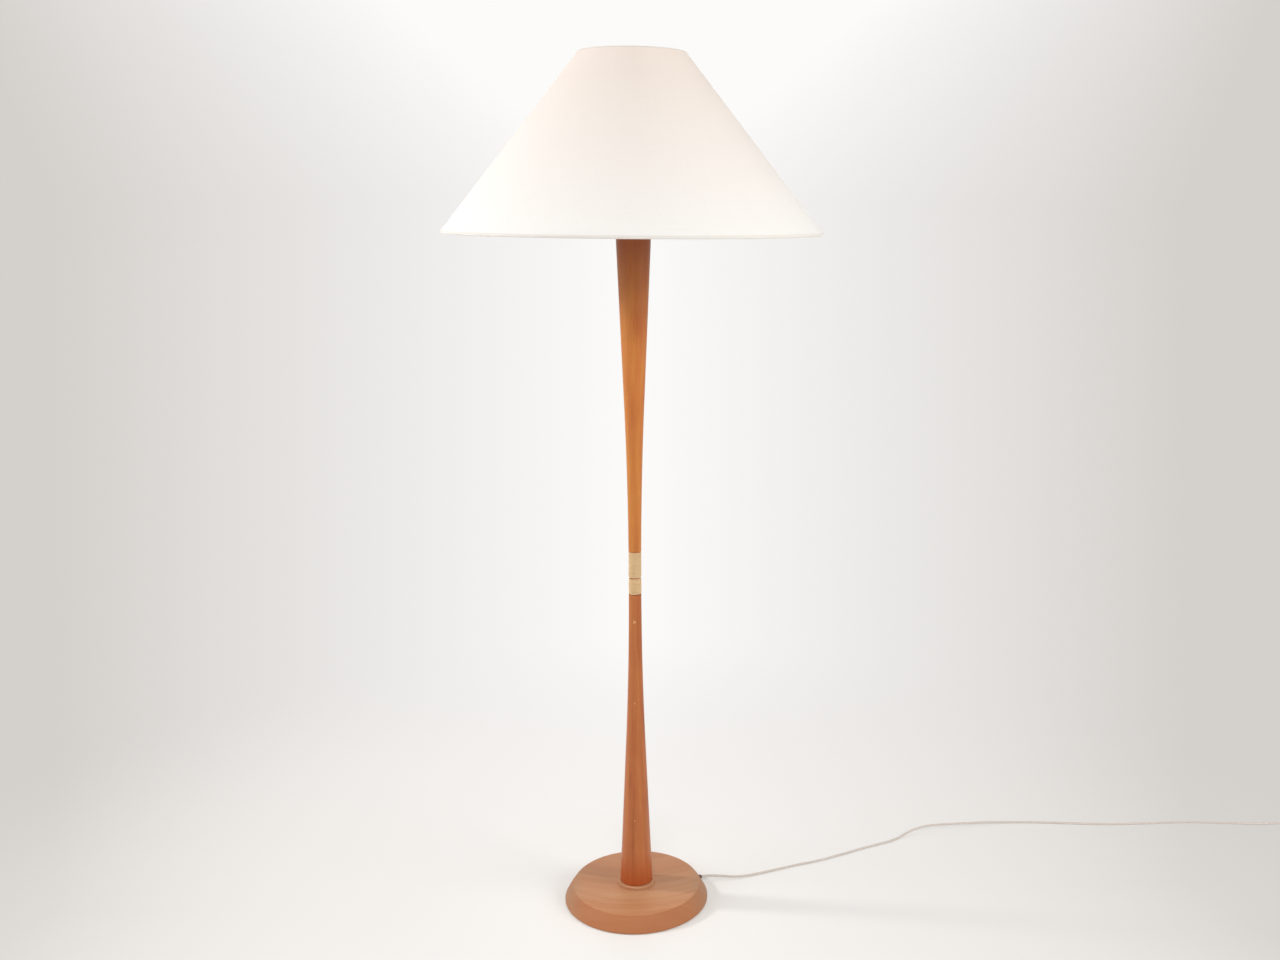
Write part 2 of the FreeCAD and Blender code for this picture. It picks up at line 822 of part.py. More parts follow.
def switch_spindle():
    rotor_reach = math.sqrt((holder_radius - cap_wall) ** 2 - rotor_radius ** 2) - rest_gap
    tip = key_reach() + key_length - key_cap_thickness
    front = V(0, -1, 0)
    rotor = rod_along(rotor_radius, spindle_place(rotor_reach - rotor_length), front, rotor_length)
    return rotor.fuse(rod_along(spindle_radius, spindle_place(rotor_reach), front, tip - rotor_reach))


def key_reach():
    return holder_radius + boss_length + key_gap


def switch_key():
    """Fluted round key on the end of the shaft."""
    front = V(0, -1, 0)
    key = rod_along(key_radius, spindle_place(key_reach()), front, key_length)
    for i in range(key_flutes):
        x, z = at_angle(key_radius, 360.0 * i / key_flutes)
        start = spindle_place(key_reach() - 1) + V(x, 0, z)
        key = key.cut(rod_along(key_flute_radius, start, front, key_length + 2))
    bore_length = key_length - key_cap_thickness
    return key.cut(rod_along(spindle_radius, spindle_place(key_reach()), front, bore_length))


# ---- bulb ----
def bulb_contact():
    top = bulb_z + contact_button_height
    return turned([
        (0, bulb_z),
        (contact_button_radius, bulb_z, 1.0),
        (contact_button_radius, top),
        (0, top),
    ])


def bulb_insulator():
    low = bulb_z + contact_button_height
    return turned([
        (0, low),
        (contact_button_radius, low),
        (insulator_radius, bulb_cap_z),
        (0, bulb_cap_z),
    ])


def bulb_cap():
    """Screw shell of the bulb, a thin cup."""
    low = bulb_cap_z + 2
    outer = thread_outline(bulb_cap_radius, low, bulb_thread_turns)
    inner = [(r - bulb_cap_wall, z, ease) for r, z, ease in outer]
    rim = bulb_cap_radius + thread_wave
    outline = [(0, bulb_cap_z), (insulator_radius, bulb_cap_z)] + outer
    outline += [(rim, bulb_cap_top_z - bulb_rim_height), (rim, bulb_cap_top_z)]
    outline += [(rim - bulb_cap_wall, bulb_cap_top_z), (rim - bulb_cap_wall, bulb_cap_top_z - bulb_rim_height)]
    outline += inner[::-1]
    outline += [(insulator_radius, bulb_cap_z + bulb_cap_wall), (0, bulb_cap_z + bulb_cap_wall)]
    return turned(outline)


def glass_edges(inset):
    """Outline of the bulb's glass, inset by a wall: neck, hollow shoulder and round end."""
    neck_z = bulb_cap_top_z - bulb_rim_height
    neck_top_z = bulb_cap_top_z + 3
    ball = bulb_radius - inset
    neck = bulb_neck_radius - inset
    lean = math.radians(-38)
    meet = V(ball * math.cos(lean), 0, bulb_centre_z + ball * math.sin(lean))
    side = V(ball, 0, bulb_centre_z)
    crown = V(0, 0, bulb_centre_z + ball)
    quarter = V(ball * math.sqrt(0.5), 0, bulb_centre_z + ball * math.sqrt(0.5))
    low_side = V(ball * math.cos(lean / 2), 0, bulb_centre_z + ball * math.sin(lean / 2))
    throat = V(neck, 0, neck_top_z)
    hollow = (throat + meet) / 2 + V(-1.6, 0, 1.6)
    return [
        Part.LineSegment(V(neck, 0, neck_z), throat).toShape(),
        Part.Arc(throat, hollow, meet).toShape(),
        Part.Arc(meet, low_side, side).toShape(),
        Part.Arc(side, quarter, crown).toShape(),
    ]


def bulb_glass():
    outer = glass_edges(0)
    inner = glass_edges(bulb_glass_wall)
    neck_z = bulb_cap_top_z - bulb_rim_height
    top = bulb_centre_z + bulb_radius
    lip = Part.LineSegment(V(bulb_neck_radius - bulb_glass_wall, 0, neck_z), V(bulb_neck_radius, 0, neck_z))
    crown = Part.LineSegment(V(0, 0, top), V(0, 0, top - bulb_glass_wall))
    wire = Part.Wire([lip.toShape()] + outer + [crown.toShape()] + inner[::-1])
    return Part.Face(wire).revolve(V(0, 0, 0), UP, 360)


def stem_z():
    return bulb_cap_top_z - bulb_rim_height


def bulb_stem():
    flare = bulb_neck_radius - bulb_glass_wall - weld_gap
    low = stem_z()
    return turned([
        (0, low),
        (flare, low),
        (flare, low + stem_flare_height),
        (stem_radius, low + 4 * stem_flare_height, 3.0),
        (stem_radius, low + stem_height),
        (0, low + stem_height),
    ])


def bulb_filament():
    """Wire loop held up from the stem."""
    low = stem_z() + stem_height
    high = low + filament_rise
    points = [
        V(-stem_radius / 2, 0, low),
        V(-stem_radius / 2, 0, low + 2.5),
        V(-filament_half_span, 0, high),
        V(0, 0, high - 3),
        V(filament_half_span, 0, high),
        V(stem_radius / 2, 0, low + 2.5),
        V(stem_radius / 2, 0, low),
    ]
    edges = rounded_edges(points, [1.0] * len(points), False)
    return pipe(edges, filament_radius, points[0], UP)


# ---- shade ----
def cone_point(up_slant, depth):
    """Point at a distance up the cone's slant from its bottom edge, and under its outside."""
    radius = shade_bottom_radius - up_slant * slant_in - depth * slant_up
    height = shade_bottom_z + up_slant * slant_up - depth * slant_in
    return V(radius, 0, height)


def cone_skin(outer_depth, inner_depth, edge):
    corners = [
        cone_point(edge, outer_depth),
        cone_point(shade_slant - edge, outer_depth),
        cone_point(shade_slant - edge, inner_depth),
        cone_point(edge, inner_depth),
    ]
    return Part.Face(Part.makePolygon(corners + corners[:1])).revolve(V(0, 0, 0), UP, 360)


def shade_cover():
    return cone_skin(hem_thickness, hem_thickness + cloth_thickness, hem_radius)


def shade_liner():
    return cone_skin(hem_thickness + cloth_thickness, skin_depth, hem_radius)


def shade_hem(at_top):
    """Strip of cloth rolled over the edge and the wire ring."""
    def at(up_slant, depth):
        place = shade_slant - up_slant if at_top else up_slant
        return cone_point(place, depth)

    inner_radius = hem_radius - hem_thickness
    far = 2 * hem_radius
    edges = [
        Part.LineSegment(at(hem_outer_leg, 0), at(hem_radius, 0)),
        Part.Arc(at(hem_radius, 0), at(0, hem_radius), at(hem_radius, far)),
        Part.LineSegment(at(hem_radius, far), at(hem_inner_leg, far)),
        Part.LineSegment(at(hem_inner_leg, far), at(hem_inner_leg, far - hem_thickness)),
        Part.LineSegment(at(hem_inner_leg, far - hem_thickness), at(hem_radius, far - hem_thickness)),
        Part.Arc(at(hem_radius, far - hem_thickness), at(hem_radius - inner_radius, hem_radius),
                 at(hem_radius, hem_thickness)),
        Part.LineSegment(at(hem_radius, hem_thickness), at(hem_outer_leg, hem_thickness)),
        Part.LineSegment(at(hem_outer_leg, hem_thickness), at(hem_outer_leg, 0)),
    ]
    wire = Part.Wire([edge.toShape() for edge in edges])
    return Part.Face(wire).revolve(V(0, 0, 0), UP, 360)


def shade_hem_top():
    """The upper hem, notched round the arms."""
    hem = shade_hem(True)
    for notch in arm_wires(arm_radius + slip_gap, slip_gap):
        hem = hem.cut(notch)
    return hem


def shade_hem_bottom():
    return shade_hem(False)


def wire_ring(up_slant):
    centre = cone_point(up_slant, ring_depth)
    return Part.makeTorus(centre.x, ring_wire_radius, V(0, 0, centre.z))


def shade_ring_top():
    return wire_ring(shade_slant - hem_radius)


def shade_ring_bottom():
    return wire_ring(hem_radius)


def shade_hub():
    return ring(hub_radius, stud_radius + slip_gap, hub_z, hub_z + hub_thickness)


def arm_wires(radius, overrun):
    """One wire for each arm, from the hub up to the top ring."""
    middle = hub_z + hub_thickness / 2
    end = cone_point(shade_slant - hem_radius, ring_depth)
    points = [
        V(hub_radius + weld_gap, 0, middle),
        V(hub_radius + arm_flat, 0, middle),
        V(end.x, 0, end.z),
    ]
    reach = (points[2] - points[1]).normalize() * (ring_wire_radius + arm_radius * 0.3 - overrun)
    points[2] = points[2] - reach
    edges = rounded_edges(points, [0, 12.0, 0], False)
    arm = pipe(edges, radius, points[0], V(1, 0, 0))
    return [spun(arm, 90 + 360.0 * i / arm_count) for i in range(arm_count)]


def shade_arms():
    end = cone_point(shade_slant - hem_radius, ring_depth)
    clear = Part.makeTorus(end.x, ring_wire_radius + weld_gap, V(0, 0, end.z))
    return Part.makeCompound([arm.cut(clear) for arm in arm_wires(arm_radius, 0)])


def finial():
    """Turned brass nut, bored to take the stud."""
    top = finial_z + finial_height
    ball_z = top - finial_radius
    body = turned([
        (0, finial_z),
        (finial_radius, finial_z, 0.6),
        (finial_radius, finial_z + finial_flange, 0.6),
        (finial_waist, finial_z + finial_flange + 1.5, 1.2),
        (finial_waist, ball_z - finial_radius / 2, 1.2),
        (finial_radius, ball_z, 2.4),
        (finial_radius, ball_z + finial_radius / 2, 2.6),
        (finial_radius / 2, top, 3.0),
        (0, top),
    ])
    return body.cut(rod(stud_radius + running_gap, finial_z - 1, top - finial_skin))


# ---- mains lead inside the lamp ----
def cord_bush():
    """Tapered bush round the lead, in the base's side."""
    start = recess_radius
    profile = [
        V(start, 0, cord_diameter / 2 + slip_gap),
        V(start, 0, bush_radius),
        V(bush_tip() - bush_taper, 0, bush_radius),
        V(bush_tip(), 0, bush_tip_radius),
        V(bush_tip(), 0, cord_diameter / 2 + slip_gap),
    ]
    bush = Part.Face(Part.makePolygon(profile + profile[:1])).revolve(V(0, 0, 0), V(1, 0, 0), 360)
    bush.translate(V(0, 0, cord_exit_height))
    return spun(bush, cord_exit_angle)


def lead_inside():
    """The lead from the bush's mouth to the middle of the base and up the tube."""
    points = [
        V(bush_tip(), 0, cord_exit_height),
        V(0, 0, cord_exit_height),
        V(0, 0, holder_z + cap_floor_height + lead_end_rise),
    ]
    edges = rounded_edges(points, [0, lead_bend, 0], False)
    lead = pipe(edges, cord_diameter / 2, points[0], V(-1, 0, 0))
    report_pipe("lead_inside", lead, edges, cord_diameter / 2)
    return spun(lead, cord_exit_angle)


def lead_cores():
    cores = []
    low = holder_z + cap_floor_height + lead_end_rise
    head_z_middle = insert_z - terminal_head_height / 2
    reach = terminal_offset - terminal_head_radius - weld_gap
    for side in (-1, 1):
        x = side * (core_radius + weld_gap)
        points = [
            V(x, 0, low),
            V(x, 0, low + core_rise),
            V(side * reach * 0.6, 0, head_z_middle),
            V(side * reach, 0, head_z_middle),
        ]
        edges = rounded_edges(points, [0, 2.0, 2.0, 0], False)
        cores.append(pipe(edges, core_radius, points[0], UP))
    return Part.makeCompound(cores)


def clamp_z():
    """Underside of the clamp strap, which lies against the lead."""
    return cord_exit_height - cord_diameter / 2 - slip_gap - clamp_thickness


def cord_clamp():
    strap = block(clamp_width, clamp_length, clamp_z(), clamp_z() + clamp_thickness, clamp_distance)
    for side in (-1, 1):
        hole = rod(clamp_bolt_radius + slip_gap, clamp_z() - 1, clamp_z() + clamp_thickness + 1,
                   clamp_distance, side * clamp_bolt_spread)
        strap = strap.cut(hole)
    return spun(strap, cord_exit_angle)


def cord_clamp_screws():
    screws = []
    for side in (-1, 1):
        low = clamp_z() - clamp_bolt_head_height
        screw = slotted_screw(clamp_bolt_head_radius, clamp_bolt_head_height, clamp_bolt_radius,
                              clamp_bolt_length, low)
        screw.translate(V(clamp_distance, side * clamp_bolt_spread, 0))
        screws.append(spun(screw, cord_exit_angle))
    return Part.makeCompound(screws)


# ---- free stretch, coil, tie and plug ----
def coil_spiral(turn):
    """Radius and height of the coil's middle line after a number of turns."""
    from_middle = (turn - coil_turns / 2) * 2 * math.pi
    rate = coil_pitch / (2 * math.pi)
    inner = coil_outer_radius - coil_pitch * coil_turns / 2
    if abs(from_middle) < math.pi / 2:
        radius = inner + rate * (from_middle ** 2 / math.pi + math.pi / 4)
        slope = rate * 2 * from_middle / math.pi
        share = (1 + math.sin(from_middle)) / 2
        climb = math.cos(from_middle) / 2
    else:
        radius = inner + rate * abs(from_middle)
        slope = math.copysign(rate, from_middle)
        share = 1.0 if from_middle > 0 else 0.0
        climb = 0.0
    rise = coil_high_z - coil_low_z
    return radius, slope, coil_low_z + share * rise, climb * rise


def coil_station(turn):
    """Place and way of the coil's middle line. It starts nearest the front, heading along X."""
    radius, slope, height, climb = coil_spiral(turn)
    angle = -math.pi / 2 + turn * 2 * math.pi
    out = V(math.cos(angle), math.sin(angle), 0)
    round_way = V(-math.sin(angle), math.cos(angle), 0)
    place = coil_centre + out * radius + V(0, 0, height)
    way = (round_way * radius + out * slope + V(0, 0, climb)).normalize()
    return place, way


def tail_station():
    """Where the straight end of the coil's tail begins, level with the plug."""
    last, _ = coil_station(coil_turns)
    heading = math.radians(plug_heading)
    way = V(math.cos(heading), math.sin(heading), 0)
    place = V(last.x + 0.35 * tail_run * way.x, last.y + tail_run, plug_z)
    return place, way


def cord_coil():
    steps = round(coil_turns * 4)
    stations = [coil_station(coil_turns * i / steps) for i in range(steps + 1)]
    stations.append(tail_station())
    first, first_way = stations[0]
    last, last_way = stations[-1]
    begin = first - first_way * cord_diameter
    edges = [Part.LineSegment(begin, first).toShape()]
    for (here, way), (there, next_way) in zip(stations, stations[1:]):
        edges.extend(biarc(here, way, there, next_way))
    edges.append(Part.LineSegment(last, last + last_way * cord_diameter).toShape())
    solid = pipe(edges, cord_diameter / 2, begin, first_way)
    report_pipe("cord_coil", solid, edges, cord_diameter / 2)
    gap = least_gap(edges, cord_diameter, math.pi * coil_outer_radius)
    print(f"cord_coil: {coil_turns} turns, least gap to itself {gap:.3f} mm")
    return solid


def cord():
    """Straight runs with an arc at each point, as large as the runs beside it allow."""
    exit_point = exit_direction * bush_tip() + V(0, 0, cord_exit_height)
    start, start_way = coil_station(0)
    end = start - start_way * cord_diameter
    points = [exit_point, exit_point + exit_direction * exit_run]
    points += [V(x, y, z) for x, y, z in route_middle]
    points += [end - start_way * last_run, end]
    radii = [0]
    for before, corner, after in zip(points, points[1:], points[2:]):
        half_turn = (corner - before).getAngle(after - corner) / 2
        shorter = min((corner - before).Length, (after - corner).Length)
        radii.append(0.45 * shorter / math.tan(half_turn))
    radii.append(0)
    print("cord: arc radii", " ".join(f"{radius:.0f}" for radius in radii[1:-1]))
    edges = rounded_edges(points, radii, False)
    solid = pipe(edges, cord_diameter / 2, exit_point, exit_direction)
    report_pipe("cord", solid, edges, cord_diameter / 2)
    return solid


def tie_turn(angle):
    """Turns from the coil's start to the first pass of the given angle."""
    return ((angle + 90.0) % 360.0) / 360.0


def cord_tie():
    """Flat band round all the turns of the coil at one place."""
    first_turn = tie_turn(tie_angle)
    outer_wind = coil_spiral(first_turn)[0]
    inner_wind = coil_spiral(first_turn + math.floor(coil_turns / 2 - 0.25 - first_turn))[0]
    inner = inner_wind - cord_diameter / 2 - tie_slack
    outer = outer_wind + cord_diameter / 2 + tie_slack
    low = coil_low_z - cord_diameter / 2 - slip_gap
    high = coil_high_z + cord_diameter / 2 + tie_slack

    def frame(margin, ease):
        corners = [V(inner - margin, 0, low - margin), V(outer + margin, 0, low - margin),
                   V(outer + margin, 0, high + margin), V(inner - margin, 0, high + margin)]
        return Part.Face(Part.Wire(rounded_edges(corners, [ease] * 4, True)))

    band = frame(tie_thickness, 2.0).cut(frame(0, 1.2)).extrude(V(0, tie_width, 0))
    band.translate(V(0, -tie_width / 2, 0))
    band.rotate(V(0, 0, 0), UP, tie_angle)
    band.translate(coil_centre)
    return band


def plug_place(shape):
    """Moves a shape made along X from the cord's end to where the plug lies."""
    place, way = tail_station()
    shape.rotate(V(0, 0, 0), UP, plug_heading)
    shape.translate(place + way * cord_diameter)
    return shape


def plug_body():
    """Flat two-pin plug with its tapered boot, lying on its side."""
    boot = Part.makeCone(plug_boot_tip_radius, plug_boot_radius, plug_boot_length, V(0, 0, 0), V(1, 0, 0))
    front = plug_boot_length + plug_length
    half = plug_width / 2
    back = plug_back_width / 2
    corners = [
        V(plug_boot_length, -back, 0),
        V(front - plug_front_length, -half, 0),
        V(front, -half, 0),
        V(front, half, 0),
        V(front - plug_front_length, half, 0),
        V(plug_boot_length, back, 0),
    ]
    plan = Part.Face(Part.Wire(rounded_edges(corners, [4.0, 8.0, 1.5, 1.5, 8.0, 4.0], True)))
    body = plan.extrude(V(0, 0, plug_thickness))
    body.translate(V(0, 0, -plug_thickness / 2))
    level = [edge for edge in body.Edges if abs(abs(edge.CenterOfMass.z) - plug_thickness / 2) < 0.01]
    body = body.makeFillet(plug_ease, level)
    return plug_place(body.fuse(boot))


def plug_pins():
    front = plug_boot_length + plug_length
    pins = []
    for side in (-1, 1):
        start = V(front, side * pin_spacing / 2, 0)
        straight = pin_length - pin_radius
        pin = rod_along(pin_radius, start, V(1, 0, 0), straight)
        tip = Part.makeSphere(pin_radius, start + V(straight, 0, 0))
        pins.append(pin.fuse(tip))
    return plug_place(Part.makeCompound(pins))


PIECES = [
    base_disc, base_felt, base_weight, base_weight_screws, rod_washer, rod_nut,
    column_lower, column_upper, binding_lower, binding_upper, tube_lower, tube_upper, tube_coupler,
    neck_washer, neck_sleeve, neck_nut, harp_saddle, harp, harp_stud,
    holder_cap, holder_shell, holder_insert, holder_sleeve, holder_screws,
    holder_centre_contact, holder_side_contact, switch_spindle, switch_key,
    bulb_contact, bulb_insulator, bulb_cap, bulb_glass, bulb_stem, bulb_filament,
    shade_cover, shade_liner, shade_hem_top, shade_hem_bottom, shade_ring_top, shade_ring_bottom,
    shade_hub, shade_arms, finial,
    cord_bush, lead_inside, lead_cores, cord_clamp, cord_clamp_screws,
    cord, cord_coil, cord_tie, plug_body, plug_pins,
]


def main():
    os.makedirs("parts", exist_ok=True)
    for piece in PIECES:
        shape = piece()
        name = piece.__name__
        if not shape.isValid():
            raise ValueError(f"{name} is not a valid shape")
        shape.exportStep(f"parts/{name}.step")
        print(f"{name}: {len(shape.Solids)} solid, {shape.Volume:.0f} mm3")


main()
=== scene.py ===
import math

import bmesh
import bpy
from mathutils import Matrix, Vector


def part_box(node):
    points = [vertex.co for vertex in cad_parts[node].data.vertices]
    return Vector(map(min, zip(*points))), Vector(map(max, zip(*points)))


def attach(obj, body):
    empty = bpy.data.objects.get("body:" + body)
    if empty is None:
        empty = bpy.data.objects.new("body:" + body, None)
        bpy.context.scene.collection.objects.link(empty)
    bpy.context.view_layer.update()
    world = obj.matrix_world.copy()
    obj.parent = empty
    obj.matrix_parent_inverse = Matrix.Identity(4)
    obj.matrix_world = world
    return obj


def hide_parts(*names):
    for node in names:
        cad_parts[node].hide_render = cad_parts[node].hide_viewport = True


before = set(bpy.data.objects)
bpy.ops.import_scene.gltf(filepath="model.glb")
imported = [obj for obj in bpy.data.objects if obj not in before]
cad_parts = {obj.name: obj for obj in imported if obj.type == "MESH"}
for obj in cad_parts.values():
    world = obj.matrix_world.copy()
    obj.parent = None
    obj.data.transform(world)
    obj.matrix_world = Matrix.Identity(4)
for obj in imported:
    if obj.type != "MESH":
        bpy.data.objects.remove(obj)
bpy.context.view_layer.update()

bl_info = {
    "name": "Candlestick Floor Lamp",
    "version": (1, 0, 0),
    "blender": (4, 5, 0),
    "location": "3D View > Sidebar > Floor Lamp",
    "description": "Dresses a turned wooden floor lamp with a wide coolie shade and sets it on a studio floor",
    "category": "Object",
}

MM = 0.001
TURN = 2 * math.pi


def tone(red, green, blue):
    """Linear colour from the 0 to 255 numbers of a colour chart."""
    def linear(value):
        value = value / 255
        return value / 12.92 if value <= 0.04045 else ((value + 0.055) / 1.055) ** 2.4
    return (linear(red), linear(green), linear(blue))


def colour(name, description, rgb):
    return bpy.props.FloatVectorProperty(
        name=name, description=description, subtype="COLOR", size=3, min=0, max=1, default=tone(*rgb))


def length(name, description, millimetres):
    return bpy.props.FloatProperty(
        name=name, description=description, unit="LENGTH", min=0, default=millimetres * MM)


def number(name, description, default):
    return bpy.props.FloatProperty(name=name, description=description, default=default)


def count(name, description, default):
    return bpy.props.IntProperty(name=name, description=description, default=default)


def angle(name, description, degrees):
    return bpy.props.FloatProperty(
        name=name, description=description, subtype="ANGLE", default=math.radians(degrees))


# ---- what a user would change ----
class WoodSettings(bpy.types.PropertyGroup):
    upper_light: colour("Upper light", "Honey tone of the upper half", (202, 131, 56))
    upper_dark: colour("Upper dark", "Streaks in the upper half", (182, 99, 40))
    lower_light: colour("Lower light", "Amber tone of the lower half", (184, 109, 54))
    lower_dark: colour("Lower dark", "Streaks in the lower half", (158, 79, 31))
    disc_light: colour("Disc light", "Pale bands of the base", (194, 148, 112))
    disc_dark: colour("Disc dark", "Dark bands of the base", (184, 131, 95))
    fibre: length("Fibre width", "Width of the fine streaks along the grain", 1.1)
    lacquer: number("Lacquer", "Strength of the clear coat", 0.25)


class ColumnSettings(bpy.types.PropertyGroup):
    waist_radius: length("Waist radius", "Radius of the straight waist", 11.7)
    end_radius: length("End radius", "Radius at the foot and at the head", 31.0)
    flare_start: length("Flare start", "Distance from the seam where the waist ends", 20)
    flare_end: length("Flare end", "Distance from the seam where the outline turns straight", 321)
    end_ease: length("End ease", "Rounding of the foot's and the head's edge", 1.8)
    bore_radius: length("Bore radius", "Bore for the threaded tube", 5.2)
    core_radius: length("Core radius", "Wood under the binding", 9.8)
    lower_band: length("Lower band", "Height of the binding under the seam", 32.1)
    upper_band: length("Upper band", "Height of the binding over the seam", 50.7)
    sides: count("Sides", "Faces round the column", 96)


class BindingSettings(bpy.types.PropertyGroup):
    strand: length("Strand", "Thickness of the strand", 1.8)
    wind_radius: length("Wind radius", "Radius of the strand's middle", 10.8)
    seam_margin: length("Seam margin", "Bare wood beside the seam", 0.6)
    lower_turns: count("Lower turns", "Turns under the seam", 13)
    upper_turns: count("Upper turns", "Turns over the seam", 21)
    pale: colour("Pale", "Sunlit fibre of the strand", (226, 196, 152))
    tan: colour("Tan", "Darker fibre of the strand", (196, 160, 112))


class ShadeSettings(bpy.types.PropertyGroup):
    bottom_radius: length("Bottom radius", "Outside radius at the bottom edge", 331.2)
    top_radius: length("Top radius", "Outside radius at the top edge", 91.2)
    height: length("Height", "Upright height of the shade", 301.7)
    hem_radius: length("Hem radius", "Radius of the rolled edges", 2.8)
    cloth: colour("Cloth", "White cloth", (246, 245, 243))
    # The cream near the top is painted shade for the dimmer top of the shade.
    cream: colour("Cream", "Warmer cloth near the top", (240, 228, 219))
    lining: colour("Lining", "White lining", (246, 242, 235))
    thread: length("Thread", "Distance between two threads of the weave", 0.55)
    lap: length("Lap", "Width of the glued lap at the back", 14)
    sides: count("Sides", "Faces round the shade", 288)


class LeadSettings(bpy.types.PropertyGroup):
    diameter: length("Diameter", "Thickness of the lead", 4.6)
    full_length: length("Length", "Length of the lead outside the lamp", 2290)
    sleeve: colour("Sleeve", "Colour of the lead and plug", (208, 199, 191))
    bush: colour("Bush", "Colour of the bush in the base", (84, 40, 28))


class FittingSettings(bpy.types.PropertyGroup):
    brass: colour("Brass", "Harp, finial and lampholder metal", (206, 170, 104))
    steel: colour("Steel", "Screws, nuts and tube", (170, 170, 172))
    iron: colour("Iron", "Weight in the base", (52, 52, 55))
    enamel: colour("Enamel", "Wire rings, arms and hub of the shade", (238, 235, 228))
    bakelite: colour("Bakelite", "Lampholder and switch key", (26, 22, 20))
    felt: colour("Felt", "Felt under the base", (58, 42, 34))


class StageSettings(bpy.types.PropertyGroup):
    distance: length("Distance", "Camera to lamp, along the floor", 2299.19)
    height: length("Height", "Camera over the floor", 1322.98)
    focal: number("Focal length", "Focal length for a 36 mm wide film", 36.3692)
    pitch: angle("Pitch", "Camera's tilt towards the floor", 12.1124)
    yaw: angle("Yaw", "Camera's turn to the right", 3.6590)
    roll: angle("Roll", "Camera's lean", 0.4881)
    shift: number("Shift", "How far the picture's frame lies beside the camera's middle", -0.05889)
    floor: colour("Floor", "Pale studio floor", (243, 241, 238))
    middle: colour("Middle", "Room behind the lamp", (252, 251, 250))
    sides: colour("Sides", "Room towards both sides", (212, 208, 204))
    ambient: number("Ambient", "Even light from all round", 0.33)
    dark_side: number("Dark side", "How bright the photographer's side shines in gloss", 0.3)
    glow: number("Glow", "How much of the floor near the lamp shines by itself", 0.5)


GROUPS = {
    "lamp_wood": WoodSettings,
    "lamp_column": ColumnSettings,
    "lamp_binding": BindingSettings,
    "lamp_shade": ShadeSettings,
    "lamp_lead": LeadSettings,
    "lamp_fittings": FittingSettings,
    "lamp_stage": StageSettings,
}


# ---- node trees ----
def put(tree, kind, inputs=None, **settings):
    """Adds a node. An input is a value, or the output socket that feeds it."""
    node = tree.nodes.new(kind)
    for name, value in settings.items():
        setattr(node, name, value)
    for name, value in (inputs or {}).items():
        if isinstance(value, bpy.types.NodeSocket):
            tree.links.new(value, node.inputs[name])
        else:
            node.inputs[name].default_value = value
    return node


def home(*values):
    """Node tree of the first value that is a socket."""
    return next(value.id_data for value in values if isinstance(value, bpy.types.NodeSocket))


def maths(operation, first, second=None):
    inputs = {0: first} if second is None else {0: first, 1: second}
    return put(home(first, second), "ShaderNodeMath", inputs, operation=operation).outputs[0]


def plus(first, second):
    return maths("ADD", first, second)


def less(first, second):
    return maths("SUBTRACT", first, second)


def times(first, second):
    return maths("MULTIPLY", first, second)


def remap(value, low, high, to_low=0.0, to_high=1.0, **settings):
    inputs = {"Value": value, "From Min": low, "From Max": high, "To Min": to_low, "To Max": to_high}
    return put(value.id_data, "ShaderNodeMapRange", inputs, **settings).outputs["Result"]


def split(vector):
    return put(vector.id_data, "ShaderNodeSeparateXYZ", {"Vector": vector}).outputs


def join(x, y=0.0, z=0.0):
    return put(home(x, y, z), "ShaderNodeCombineXYZ", {"X": x, "Y": y, "Z": z}).outputs[0]


def rgba(rgb):
    return (*rgb, 1.0)


def shade_of(rgb, share):
    return tuple(part * share for part in rgb)


class Finish:
    """A node material while it is put together."""

    def __init__(self, name, base, roughness, **sockets):
        self.material = bpy.data.materials.new(name)
        self.material.use_nodes = True
        self.tree = self.material.node_tree
        self.shader = self.tree.nodes["Principled BSDF"]
        self.shader.inputs["Base Color"].default_value = rgba(base)
        self.shader.inputs["Roughness"].default_value = roughness
        for socket, value in sockets.items():
            self.shader.inputs[socket.replace("_", " ")].default_value = value
        self.place = put(self.tree, "ShaderNodeTexCoord").outputs["Object"]
        self.bumps = None

    def noise(self, scale, detail=3.0, distortion=0.0, roughness=0.5, place=None, stretch=None, move=(0, 0, 0)):
        """Noise on the object's own coordinates or others, drawn out along one way by a stretch."""
        place = self.place if place is None else place
        if stretch is not None:
            inputs = {"Vector": place, "Scale": stretch, "Location": move}
            place = put(self.tree, "ShaderNodeMapping", inputs).outputs[0]
        inputs = {"Vector": place, "Scale": scale, "Detail": detail, "Roughness": roughness,
                  "Distortion": distortion}
        return put(self.tree, "ShaderNodeTexNoise", inputs).outputs["Fac"]

    def blend(self, share, first, second):
        inputs = {0: share}
        for index, value in ((6, first), (7, second)):
            inputs[index] = value if isinstance(value, bpy.types.NodeSocket) else rgba(value)
        return put(self.tree, "ShaderNodeMix", inputs, data_type="RGBA").outputs[2]

    def over(self, first, second, value, low, high, to_low=0.0, to_high=1.0):
        """Second colour over the first, by a share that follows a value from its low to its high end."""
        return self.blend(remap(value, low, high, to_low, to_high), first, second)

    def layers(self, tint, *rows):
        """Colours one over the other, in rows of what over() takes after its first colour."""
        for second, *ends in rows:
            tint = self.over(tint, second, *ends)
        return tint

    def paint(self, output):
        self.tree.links.new(output, self.shader.inputs["Base Color"])

    def roughen(self, value, low, high):
        self.tree.links.new(remap(value, 0.0, 1.0, low, high), self.shader.inputs["Roughness"])

    def raise_up(self, height, metres, strength=1.0):
        """Bump with a height in metres, on top of those before it."""
        inputs = {"Height": height, "Distance": metres, "Strength": strength}
        if self.bumps is not None:
            inputs["Normal"] = self.bumps
        self.bumps = put(self.tree, "ShaderNodeBump", inputs).outputs[0]
        self.tree.links.new(self.bumps, self.shader.inputs["Normal"])


